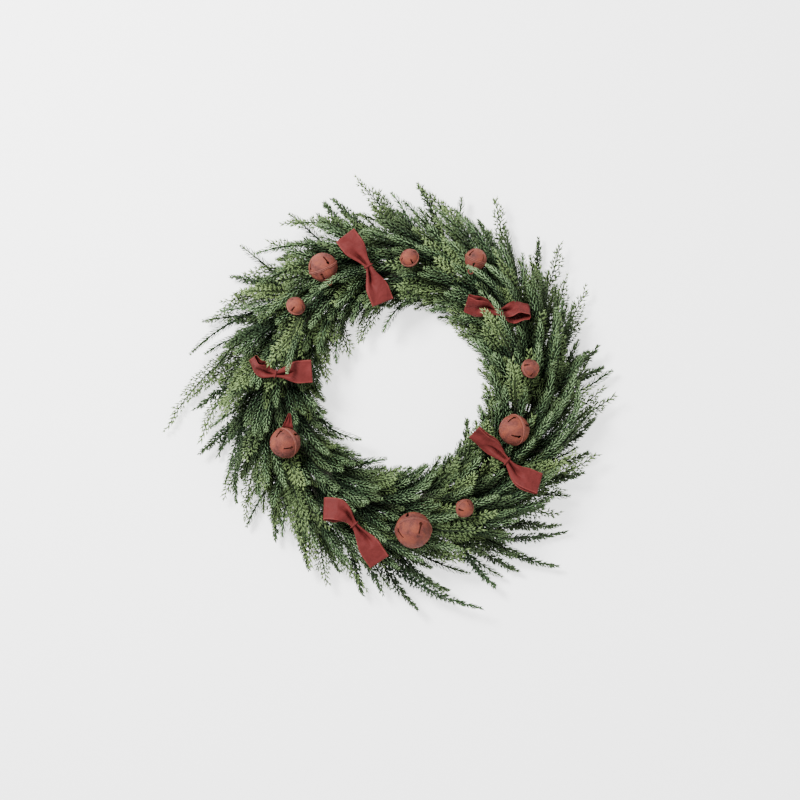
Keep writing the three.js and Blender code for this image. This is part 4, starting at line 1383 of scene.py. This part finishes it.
@dataclass(frozen=True)
class Bell:
    """A round jingle bell: two cups crimped together, keyhole slots in both."""

    number: int
    angle: float
    radius: float
    height: float
    diameter: float
    lean: float
    tilt: float
    spin: float  # where its first front slot stands, from the seam's highest point
    wall: float = 1.2
    seam_rise: float = 0.85
    seam_half: float = 0.8
    foot: float | None = None  # where its wire goes down, if not at its own angle
    loop_radius: float = 3.4
    loop_wire: float = 0.9
    loop_sunk: float = 0.4
    room: float = 1.5  # the solids' shoots keep this far off the bell
    loop_room: float = 1.4
    wire_slack: float = 0.9  # the wire lies this far off the loop's middle, near its end
    wire_end: float = 3.0  # a wire's free end stands this far out of the loop
    wire_bend: float = 4.0  # and turns down this far behind it
    wire_corner: float = 1.4

    def centre(self) -> Array:
        """The middle of the bell."""
        return polar(self.angle, self.radius, self.height)

    def axis(self) -> Array:
        """From the middle to the front cup's pole."""
        tilt = math.radians(self.tilt)
        return polar(self.lean, math.sin(tilt), math.cos(tilt))

    def keep(self, clear: KeepClear) -> None:
        """Keeps greenery out of the bell and its loop."""
        clear.add(self.centre(), self.diameter / 2 + 0.5)
        clear.add(self.centre() - self.axis() * (self.diameter / 2 + 3), 3.5)

    def bar(self, clear: KeepClear) -> None:
        """Keeps the solids' shoots out of the bell, its loop and its wire."""
        clear.add(self.centre(), self.diameter / 2 + self.room)
        loop = self.centre() - self.axis() * self._loop_drop()
        clear.add(loop, self.loop_radius + self.loop_room)
        clear.string(self._wire(), WIRE_ROOM)

    def _loop_drop(self) -> float:
        """From the middle of the bell back to the middle of its loop."""
        return self.diameter / 2 + self.loop_radius - self.loop_sunk

    def _wire(self) -> Array:
        """The wire's corners, from its free end through the loop and down to the ring."""
        axis = self.axis()
        loop = self.centre() - axis * self._loop_drop()
        through = unit(UP - axis * axis[2])
        _, foot = foot_on_ring(self.angle if self.foot is None else self.foot)
        if through @ (foot - loop) > 0:
            through = -through
        down = unit(foot - loop)
        loop = loop - axis * self.wire_slack
        return np.array([
            loop + through * self.wire_end,
            loop + through * (self.wire_corner - self.wire_bend),
            loop - through * self.wire_bend + down * self.wire_end,
            foot + UP * FOOT_RISE,
            foot,
        ])

    def build(self, paint: bpy.types.Material) -> bpy.types.Object:
        """Makes the bell in place of its solid."""
        shell = self._lathe(self._outline(), "shell")
        hollow = self._lathe(self._lining(), "hollow")
        slots = self._slots()
        body = carved(shell, [hollow, slots])
        self._add_loop(body)
        self._mark_wear_and_seam_shade(body)
        place = Matrix.Translation(Vector(in_row_frame(self.centre())))
        body.transform(place @ self._turn() @ Matrix.Scale(0.001, 4))
        body.polygons.foreach_set("use_smooth", np.ones(len(body.polygons), dtype=bool))
        body.set_sharp_from_angle(angle=math.radians(38))
        body.materials.append(paint)
        name = f"jingle_bell_{self.number}"
        body.name = name
        made = bpy.data.objects.new(name, body)
        bpy.context.scene.collection.objects.link(made)
        log.info("%s: %d faces", name, len(body.polygons))
        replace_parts(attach(made, "root"), f"bell_{self.number}")
        return made

    def _turn(self) -> Matrix:
        """Turns the bell's Y to its axis and its Z to the seam's highest point."""
        axis = self.axis()
        top = unit(UP - axis * axis[2])
        return Matrix(np.stack([np.cross(axis, top), axis, top], axis=1).tolist()).to_4x4()

    def _outline(self) -> Array:
        """Latitudes and radii of the outside, with the double crimp at the seam."""
        near = np.linspace(-9, 9, 31) * 20 / (self.diameter / 2)
        near = near[np.abs(near) < 26]
        far = np.linspace(abs(near[0]) + 3, 90, 20)
        latitude = np.concatenate([-far[::-1], near, far])
        rise = self.diameter / 2 * np.sin(np.radians(latitude))
        crimp = np.exp(-(((np.abs(rise) - self.seam_half) / 0.5) ** 2)) * self.seam_rise
        return np.stack([latitude, self.diameter / 2 + crimp], axis=1)

    def _lining(self) -> Array:
        """Latitudes and radii of the inside."""
        latitude = np.linspace(-90, 90, 33)
        return np.stack([latitude, np.full(33, self.diameter / 2 - self.wall)], axis=1)

    def _lathe(self, outline: Array, name: str) -> bpy.types.Object:
        """Turns an outline about the local Y axis into a closed ball."""
        columns = 72
        latitude, radius = np.radians(outline[1:-1, 0]), outline[1:-1, 1]
        turn = np.arange(columns) * 2 * math.pi / columns
        flat = (radius * np.cos(latitude))[:, None]
        rise = np.broadcast_to((radius * np.sin(latitude))[:, None], (len(radius), columns))
        body = np.stack([flat * np.cos(turn), rise, flat * np.sin(turn)], axis=-1)
        ends = np.array([[0, -outline[0, 1], 0], [0, outline[-1, 1], 0]])
        points = np.concatenate([body.reshape(-1, 3), ends])
        rows = len(radius)
        south, north, last = rows * columns, rows * columns + 1, (rows - 1) * columns
        caps = [(south, i, (i + 1) % columns) for i in range(columns)]
        caps += [(north, last + (i + 1) % columns, last + i) for i in range(columns)]
        faces = np.concatenate([grid_faces(rows, columns, True)[:, ::-1], np.array(caps)])
        return plain_object(name, points, faces)

    def _slots(self) -> bpy.types.Object:
        """Keyhole prisms that cut four slots into each cup."""
        points: list[Array] = []
        faces: list[Array] = []
        ball = self.diameter / 2
        hole, slit = 0.095 * ball + 0.4, 0.042 * ball + 0.5
        for side in (-1, 1):
            for quarter in range(4):
                outline = self._keyhole(hole / ball, slit / ball)
                azimuth = math.radians(90 * quarter - self.spin + (0 if side > 0 else 45))
                latitude = outline[:, 1] * side
                turn = azimuth + outline[:, 0] / np.cos(latitude) * side
                flat = np.cos(latitude)
                rows = [flat * np.cos(turn), np.sin(latitude), flat * np.sin(turn)]
                way = np.stack(rows, axis=1)
                count, base = len(outline), sum(len(p) for p in points)
                points += [way * ball * 0.72, way * ball * 1.2]
                a = np.arange(count)
                b = (a + 1) % count
                walls = np.concatenate([
                    np.stack([a, b, b + count], axis=1),
                    np.stack([a, b + count, a + count], axis=1),
                ])
                strip = self._cap(count)
                faces += [walls + base, strip[:, ::-1] + base, strip + count + base]
        made = plain_object("slots", np.concatenate(points), np.concatenate(faces))
        outward(made.data)
        return made

    @staticmethod
    def _keyhole(hole: float, slit: float) -> Array:
        """Half an even ladder of points up one side of a keyhole and down the other.

        Args:
            hole: radius of its round end, as an angle.
            slit: half the width of its slit.

        Returns:
            Rows of sideways and upward angle, the sides in matching order.
        """
        low, high = math.radians(11), math.radians(50)
        rise = low + hole + np.cos(np.linspace(math.pi, 0.0, 9)) * hole
        wide = np.maximum(np.sin(np.linspace(math.pi, 0.0, 9)) * hole, slit * 0.75)
        wide[rise > low + hole] = np.maximum(wide[rise > low + hole], slit)
        rise = np.append(rise, high)
        wide = np.append(wide, slit * 0.7)
        up = np.stack([wide, rise], axis=1)
        down = np.stack([-wide[::-1], rise[::-1]], axis=1)
        return np.concatenate([up, down])

    @staticmethod
    def _cap(count: int) -> Array:
        """Triangles between the two sides of a keyhole."""
        rungs = [(i, count - 1 - i) for i in range(count // 2)]
        cap = []
        for (a, b), (c, d) in zip(rungs, rungs[1:]):
            cap += [(a, c, d), (a, d, b)]
        return np.array(cap)

    def _add_loop(self, body: bpy.types.Mesh) -> None:
        """Adds the wire loop on the back cup's pole."""
        mesh = bmesh.new()
        mesh.from_mesh(body)
        around, across = 28, 10
        big = np.arange(around) * 2 * math.pi / around
        small = np.arange(across) * 2 * math.pi / across
        reach = self.loop_radius + self.loop_wire * np.cos(small)[None]
        drop = -self._loop_drop()
        wire = np.stack(
            [
                reach * np.cos(big)[:, None],
                drop + reach * np.sin(big)[:, None],
                np.broadcast_to(self.loop_wire * np.sin(small)[None], (around, across)),
            ],
            axis=-1,
        ).reshape(-1, 3)
        made = [mesh.verts.new(p) for p in wire]
        for face in grid_faces(around, across, True, True)[:, ::-1]:
            mesh.faces.new([made[i] for i in face])
        mesh.to_mesh(body)
        mesh.free()

    def _mark_wear_and_seam_shade(self, body: bpy.types.Mesh) -> None:
        """Notes at each point how near the crimped rim it lies, for wear on its ridge, and how near the
        seam's groove and shoulders, for painted shade there.
        """
        spots = np.empty(len(body.vertices) * 3, dtype=np.float32)
        body.vertices.foreach_get("co", spots)
        spots = spots.reshape(-1, 3)
        rim = np.exp(-((np.abs(spots[:, 1]) / 1.7) ** 2)) * (
            np.linalg.norm(spots, axis=1) > self.diameter / 2 + 0.2
        )
        off = np.abs(spots[:, 1])
        # painted shade: the groove itself and a shadow line beside each shoulder
        groove = np.exp(-((off / 0.4) ** 2)) + 0.45 * np.exp(-(((off - 2.2) / 0.5) ** 2))
        notes = np.stack([rim, groove, rim * 0], axis=1).astype(np.float32)
        body.attributes.new("rim_wear_and_seam_shade", "FLOAT_VECTOR", "POINT").data.foreach_set("vector", notes.ravel())


def plain_object(name: str, points: Array, faces: Array) -> bpy.types.Object:
    """An object that other forms are cut with."""
    mesh = bpy.data.meshes.new(name)
    mesh.from_pydata(points.tolist(), [], faces.tolist())
    made = bpy.data.objects.new(name, mesh)
    bpy.context.scene.collection.objects.link(made)
    return made


def outward(mesh: bpy.types.Mesh) -> None:
    """Turns every face of closed forms outward."""
    held = bmesh.new()
    held.from_mesh(mesh)
    bmesh.ops.recalc_face_normals(held, faces=held.faces)
    held.to_mesh(mesh)
    held.free()


def carved(body: bpy.types.Object, cutters: Sequence[bpy.types.Object]) -> bpy.types.Mesh:
    """Cuts forms out of a body.

    Args:
        body: the object that is cut; it goes away.
        cutters: what is taken out of it; they go away too.

    Returns:
        The mesh that is left.
    """
    outward(body.data)
    for cutter in cutters:
        outward(cutter.data)
        cut = body.modifiers.new("cut", "BOOLEAN")
        cut.operation, cut.solver, cut.object = "DIFFERENCE", "EXACT", cutter
    bpy.context.view_layer.update()
    graph = bpy.context.evaluated_depsgraph_get()
    mesh = bpy.data.meshes.new_from_object(body.evaluated_get(graph))
    for spent in (body, *cutters):
        bpy.data.objects.remove(spent)
    return mesh


BELLS = (
    Bell(1, 8.5, 177, 84, 25, 24, 37, -38),
    Bell(2, 60.3, 203, 76, 30, 68, 78, 45),
    Bell(3, 86.9, 178, 84, 25, 120, 28, 0),
    Bell(4, 123.4, 198, 78, 40, 113, 77, 28),
    Bell(5, 142.6, 184, 84, 25, 50, 32, 0),
    Bell(6, 205.2, 178, 78, 42, 203, 48, 60),
    Bell(7, 274.4, 196, 79, 50, 273, 47, 63),
    Bell(8, 297.3, 186, 84, 25, 327, 39, 26),
    Bell(9, 339.3, 164, 78, 42, 184, 52, 60, foot=351),
)


# ---------------------------------------------------------------- bows


def thicken(ribbon: bpy.types.Object) -> None:
    """Gives a ribbon's middle surface its thickness."""
    skin = ribbon.modifiers.new("ribbon_thickness", "SOLIDIFY")
    skin.thickness, skin.offset = RIBBON_THICKNESS, 0.0


@dataclass(frozen=True)
class Lobe:
    """One loop of a bow, from the pinch to its fold and back."""

    compass: float
    length: float
    roll: float = 0.0  # how far the loop lies over on its edge at its end, degrees
    open: float = 3.5  # half the gap between its two layers
    drop: float = 0.0  # how far its end hangs down
    crease: float = 7.0  # how deep the fold is that runs out from the pinch
    sag: float = 0.0  # how far its middle bows out to the left of its direction


@dataclass(frozen=True)
class Bow:
    """A strip of ribbon folded in two loops and pinched at its middle."""

    number: int
    angle: float
    radius: float
    height: float
    left: Lobe
    right: Lobe
    # The two loops of its solid, which the solids' shoots keep clear of: compass angle,
    # length and roll.
    solid: tuple[tuple[float, float, float], tuple[float, float, float]]
    solid_ribbon: float = 30.0
    solid_pinch: float = 10.0
    wire_beside: float = 6.4  # the wire's legs, from the middle of the pinch
    wire_above: float = 3.7
    wire_corner: float = 1.2
    shoulder_drop: float = 7.0  # the legs turn upright this far under the pinch
    ribbon: float = 31.0
    pinch: float = 9.4
    across_steps: int = 29

    def centre(self) -> Array:
        """The middle of the pinch."""
        return polar(self.angle, self.radius, self.height)

    def keep(self, clear: KeepClear) -> None:
        """Keeps greenery out of the loops."""
        for lobe in (self.left, self.right):
            for step in range(7):
                out = step / 6 * (lobe.length - 4)
                half = mix(self.pinch, self.ribbon, smooth(step / 5)) / 2
                half *= math.cos(math.radians(lobe.roll) * smooth(step / 5))
                for lane in (-0.8, 0.0, 0.8):
                    spot = polar(lobe.compass, out, 0.0) + polar(lobe.compass + 90, lane * half, 0.0)
                    clear.add(self.centre() + spot, 6.5 if step else 5.0)

    def bar(self, clear: KeepClear) -> None:
        """Keeps the solids' shoots out of the loops and off the wire."""
        for side, (compass, length, roll) in enumerate(self.solid):
            ahead = polar(compass, 1.0 if side else -1.0, 0.0)
            for share in np.linspace(0, 1, 6):
                out = share * (length - BOW_ROOM + 2)
                level = unit(np.cross(UP, mix(self._way(), ahead, smooth(out / PINCH_TURN))))
                turn = math.radians(roll) * smooth(out / (ROLL_SHARE * length))
                lateral = level * math.cos(turn) + UP * math.sin(turn)
                half = mix(self.solid_pinch, self.solid_ribbon, smooth(share * 1.05)) / 2
                for lane in (-0.7, 0.0, 0.7):
                    spot = polar(compass, out, 0.0) + lateral * lane * half
                    clear.add(self.centre() + spot, BOW_ROOM)
        clear.string(self._wire(), WIRE_ROOM)

    def _way(self) -> Array:
        """The solid's own direction at the pinch, from its first loop to its second."""
        return unit(polar(self.solid[1][0], 1.0, 0.0) - polar(self.solid[0][0], 1.0, 0.0))

    def _wire(self) -> Array:
        """The wire's corners, over the pinch like a hairpin, both legs down to the ring."""
        centre, across = self.centre(), np.cross(self._way(), UP)
        turn, foot = foot_on_ring(self.angle)
        hand = -1 if across @ polar(self.angle, 1.0, 0.0) < 0 else 1
        apart = polar(turn, hand * FOOT_SPREAD, 0.0)
        first, second = (
            [
                foot + apart * side,
                foot + apart * side + UP * FOOT_RISE,
                centre + across * side * self.wire_beside - UP * self.shoulder_drop,
                centre + across * side * self.wire_beside + UP * (self.wire_above - self.wire_corner),
                centre + across * side * (self.wire_beside - self.wire_corner) + UP * self.wire_above,
            ]
            for side in (1, -1)
        )
        return np.array(first + second[::-1])

    def build(self, satin: bpy.types.Material) -> bpy.types.Object:
        """Makes the bow in place of its solid."""
        rows = [*self._lobe(self.left, -1)[::-1], *self._lobe(self.right, 1)[1:]]
        grid = np.array(rows)
        steps = np.linalg.norm(np.diff(grid.mean(axis=1), axis=0), axis=1)
        run = np.concatenate([[0.0], np.cumsum(steps)]) * 0.001
        v = np.linspace(-1, 1, self.across_steps)
        weave = np.empty((*grid.shape[:2], 3))
        weave[..., 0], weave[..., 1], weave[..., 2] = run[:, None], v[None], 0.0
        soup = Soup()
        faces = grid_faces(len(grid), self.across_steps, False)
        soup.add(grid.reshape(-1, 3), faces, weave.reshape(-1, 3))
        made = soup.piece(f"satin_bow_{self.number}", [satin], "weave")
        thicken(made)
        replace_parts(made, f"bow_{self.number}")
        log.info("%s: ribbon %.0f mm long", made.name, run[-1] * 1000)
        return made

    def _lobe(self, lobe: Lobe, side: int) -> list[Array]:
        """Rows of points across the ribbon, over the top, round and back underneath."""
        way = polar(lobe.compass, 1.0, 0.0)
        other = self.left if side > 0 else self.right
        mid = unit(way - polar(other.compass, 1.0, 0.0)) * side
        u = np.concatenate([[0.0], np.linspace(0.04, 1, 30) ** 1.15])
        end_open = lobe.open * 0.55
        body = 1 - end_open * 0.8 / lobe.length
        turn = np.linspace(math.pi / 2, -math.pi / 2, 11)[1:-1]
        rows = []
        for share in u:
            rows.append(self._row(lobe, side, way, mid, share * body, self._gap(lobe, share)))
        for t in turn:
            place = body + (1 - body) * math.cos(t)
            rows.append(self._row(lobe, side, way, mid, place, end_open * math.sin(t)))
        for share in u[::-1]:
            rows.append(self._row(lobe, side, way, mid, share * body, -self._gap(lobe, share)))
        return rows

    @staticmethod
    def _gap(lobe: Lobe, share: float) -> float:
        """Half the gap between the layers at a share of the loop's length."""
        opening = mix(1.5, lobe.open, smooth(share / 0.45))
        return float(opening * mix(1, 0.55, smooth((share - 0.62) / 0.38)))

    def _row(self, lobe: Lobe, side: int, way: Array, mid: Array, share: float, gap: float) -> Array:
        """One row of points across the ribbon.

        Args:
            lobe: the loop.
            side: which of the two loops it is, -1 or 1.
            way: its compass direction.
            mid: the bow's own direction at the pinch.
            share: the place along the loop.
            gap: signed distance from its middle layer.

        Returns:
            The points.
        """
        out = share * lobe.length
        left = polar(lobe.compass + 90, lobe.sag, 0.0)
        bent = way + left * (math.pi / lobe.length * math.cos(math.pi * share))
        along = unit(mix(mid, unit(bent) * side, smooth(out / PINCH_TURN)))
        cross = np.cross(UP, along)
        roll = math.radians(lobe.roll) * smooth(share / ROLL_SHARE)
        lateral = cross * math.cos(roll) + UP * math.sin(roll)
        normal = UP * math.cos(roll) - cross * math.sin(roll)
        half = mix(self.pinch, self.ribbon, smooth(share / 0.66)) / 2
        v = np.linspace(-1, 1, self.across_steps)
        deep = min(self._pleat(half), float(mix(0.9, 5.2, smooth(out / PINCH_TURN))))
        fold = lobe.crease * float(smooth(out / 8) * (1 - smooth((share - 0.22) / 0.38)))
        bend = v - 0.35 * math.sin(share * 2.6 + self.number * 1.7)
        pleat = -deep * np.exp(-((bend / 0.3) ** 2)) - 0.5 * deep * np.abs(v) ** 4
        pleat -= fold * np.exp(-(np.abs(bend / 0.16) ** 1.5))
        pleat *= 1.0 if gap > 0 else 0.6
        curl = 0.6 * np.sin(v * 4 + share * 6 + self.number) * smooth(share / 0.5)
        sink = UP * (-lobe.drop * share**2)
        base = self.centre() + way * out + left * math.sin(math.pi * share) + normal * gap + sink
        return base + lateral * (v * half)[:, None] + normal * (pleat + curl)[:, None]

    def _pleat(self, half: float) -> float:
        """How deep the ribbon folds where it is gathered to a half width."""
        slope = math.sqrt(max(0.0, (self.ribbon / 2 / half) ** 2 - 1))
        return float(slope * half / 2)


BOWS = (
    Bow(
        1, 38.6, 166, 84,
        Lobe(164, 44, 48, 4.5), Lobe(1, 45, -60, 8.0),
        ((164, 44, 48), (0, 48, 48)),
    ),
    Bow(
        2, 105.7, 173, 86,
        Lobe(127, 53, 8, 3.0), Lobe(292, 54, -12, 3.0, 4),
        ((127, 53, 8), (292, 54, -12)),
    ),
    Bow(
        3, 173.7, 175, 86,
        Lobe(145, 38, 70, 4.0, 0, 5.0, 6.0), Lobe(4, 50, 6, 3.5),
        ((145, 39, 50), (4, 50, 6)),
    ),
    Bow(
        4, 250.6, 199, 84,
        Lobe(153, 47, -18, 9.0, 0, 7.0, -7.0), Lobe(304, 62, 10, 2.5, 4),
        ((137, 49, -18), (304, 62, 10)),
    ),
    Bow(
        5, 324.9, 175, 84,
        Lobe(138, 60, 52, 2.0), Lobe(325, 55, -24, 4.0, 2, 7.0, -5.5),
        ((138, 62, 46), (324, 56, -24)),
    ),
)


@dataclass(frozen=True)
class Strap:
    """The short ribbon that hangs behind a bell, gathered at its upper end."""

    bell: Bell
    compass: float = 81.0
    ribbon: float = 16.0
    columns: int = 17
    room: float = 6.0  # kept free round it
    # Distance out from the bell's middle, height over it, half width.
    stations: tuple[tuple[float, float, float], ...] = (
        (12.8, -18.2, 7.0),
        (19.3, -11.0, 7.9),
        (22.1, -2.6, 7.4),
        (31.0, 1.5, 4.4),
        (41.0, 3.0, 1.4),
    )

    def bar(self, clear: KeepClear) -> None:
        """Keeps the solids' shoots off the ribbon."""
        known = np.array(self.stations)
        out = polar(self.compass, 1.0, 0.0)
        clear.string(self.bell.centre() + out * known[:, :1] + UP * known[:, 1:2], self.room)

    def build(self, satin: bpy.types.Material) -> bpy.types.Object:
        """Makes the ribbon in place of its solid."""
        line = self._line(34)
        v = np.linspace(-1, 1, self.columns)
        side = polar(self.compass + 90, 1.0, 0.0)
        out = polar(self.compass, 1.0, 0.0)
        at = self.bell.centre() + out * line[:, :1] + UP * line[:, 1:2]
        heading = unit(np.gradient(at, axis=0))
        normal = np.cross(heading, side)
        half = line[:, 2]
        deep = np.sqrt(np.maximum(0.0, (self.ribbon / 2 / half) ** 2 - 1)) * half / 4.6
        wave = np.cos(v * 2 * math.pi)[None] * np.minimum(deep, 2.6)[:, None]
        lift = wave * smooth((line[:, 0] - 22) / 8)[:, None]
        grid = at[:, None] + side * (half[:, None] * v)[..., None] + normal[:, None] * lift[..., None]
        run = np.concatenate([[0.0], np.cumsum(np.linalg.norm(np.diff(at, axis=0), axis=1))]) * 0.001
        weave = np.zeros((*grid.shape[:2], 3))
        weave[..., 0], weave[..., 1] = run[:, None], v
        soup = Soup()
        soup.add(grid.reshape(-1, 3), grid_faces(*grid.shape[:2], False), weave.reshape(-1, 3))
        made = soup.piece("ribbon_strap", [satin], "weave")
        thicken(made)
        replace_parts(made, "bell_strap")
        log.info("%s: ribbon %.0f mm long", made.name, run[-1] * 1000)
        return made

    def _line(self, steps: int) -> Array:
        """A smooth run through the stations."""
        known = np.array(self.stations)
        ends = [known[:1] * 2 - known[1:2], known, known[-1:] * 2 - known[-2:-1]]
        held = np.concatenate(ends)
        place = np.linspace(0, len(known) - 1.001, steps)
        k = place.astype(int)
        f = (place - k)[:, None]
        a, b, c, d = held[k], held[k + 1], held[k + 2], held[k + 3]
        bent = 2 * b + (c - a) * f + (2 * a - 5 * b + 4 * c - d) * f**2
        return (bent + (3 * b - a - 3 * c + d) * f**3) / 2


# ---------------------------------------------------------------- studio


@dataclass(frozen=True)
class Studio:
    """The camera straight over the wreath, soft light and a pale floor."""

    aim: tuple[float, float] = (0.02106, -0.00155)
    frame_width: float = 1.104
    distance: float = 3.4
    mean_height: float = 0.06

    def set_camera(self) -> None:
        """Places the camera."""
        lens = bpy.data.cameras.new("camera")
        lens.sensor_width = 36.0
        lens.lens = 36.0 * self.distance / self.frame_width
        lens.clip_end = 100.0
        camera = bpy.data.objects.new("camera", lens)
        camera.location = (*self.aim, self.distance + self.mean_height)
        bpy.context.scene.collection.objects.link(camera)
        bpy.context.scene.camera = camera

    def light(self) -> None:
        """Sets the lamps and the bright room round them."""
        world = bpy.data.worlds.new("room")
        world.use_nodes = True
        world.node_tree.nodes["Background"].inputs[0].default_value = (1, 1, 1, 1)
        world.node_tree.nodes["Background"].inputs[1].default_value = 0.9
        bpy.context.scene.world = world
        self._lamp("key", (-1.1, 1.0, 1.9), 0.7, 165)
        self._lamp("fill", (1.5, -0.8, 1.8), 1.8, 24)

    def _lamp(self, name: str, place: tuple[float, float, float], size: float, power: float) -> None:
        """Adds one soft lamp that looks at the wreath."""
        lamp = bpy.data.lights.new(name, "AREA")
        lamp.shape, lamp.size, lamp.energy = "SQUARE", size, power
        made = bpy.data.objects.new(name, lamp)
        made.location = place
        made.rotation_euler = (-Vector(place)).to_track_quat("-Z", "Y").to_euler()
        bpy.context.scene.collection.objects.link(made)

    def lay_floor(self) -> None:
        """Lays the floor under the wreath."""
        mesh = bpy.data.meshes.new("floor")
        mesh.from_pydata([(-4, -4, 0), (4, -4, 0), (4, 4, 0), (-4, 4, 0)], [], [(0, 1, 2, 3)])
        mesh.materials.append(Paper().make())
        floor = bpy.data.objects.new("floor", mesh)
        floor.location.z = -0.0005
        bpy.context.scene.collection.objects.link(floor)


def main() -> None:
    """Builds the wreath and its studio."""
    logging.basicConfig(level=logging.INFO, format="%(name)s: %(message)s")
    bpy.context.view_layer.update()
    studio = Studio()
    studio.set_camera()
    studio.light()
    studio.lay_floor()

    strap = Strap(BELLS[STRAP_BELL - 1])
    clear, in_the_way = KeepClear(), KeepClear()
    for thing in (*BELLS, *BOWS):
        thing.keep(clear)
    for thing in (*BELLS, *BOWS, strap):
        thing.bar(in_the_way)
    greenery = Boughs(SolidLayout(in_the_way), clear, np.random.default_rng(LAYOUT_SEED))
    greenery.plan()
    greenery.build()
    VineRing().build()

    paint = Rust().make()
    satin = Satin().make()
    steel = PELLET_STEEL.make()
    wire = GREEN_WIRE.make()
    bow_wire = BowWire().make()
    for bell in BELLS:
        bell.build(paint)
        dress(f"bell_pellet_{bell.number}", steel)
        dress(f"bell_wire_{bell.number}", wire)
    for bow in BOWS:
        bow.build(satin)
        dress(f"bow_wire_{bow.number}", bow_wire)
    strap.build(satin)


if __name__ == "__main__":
    main()
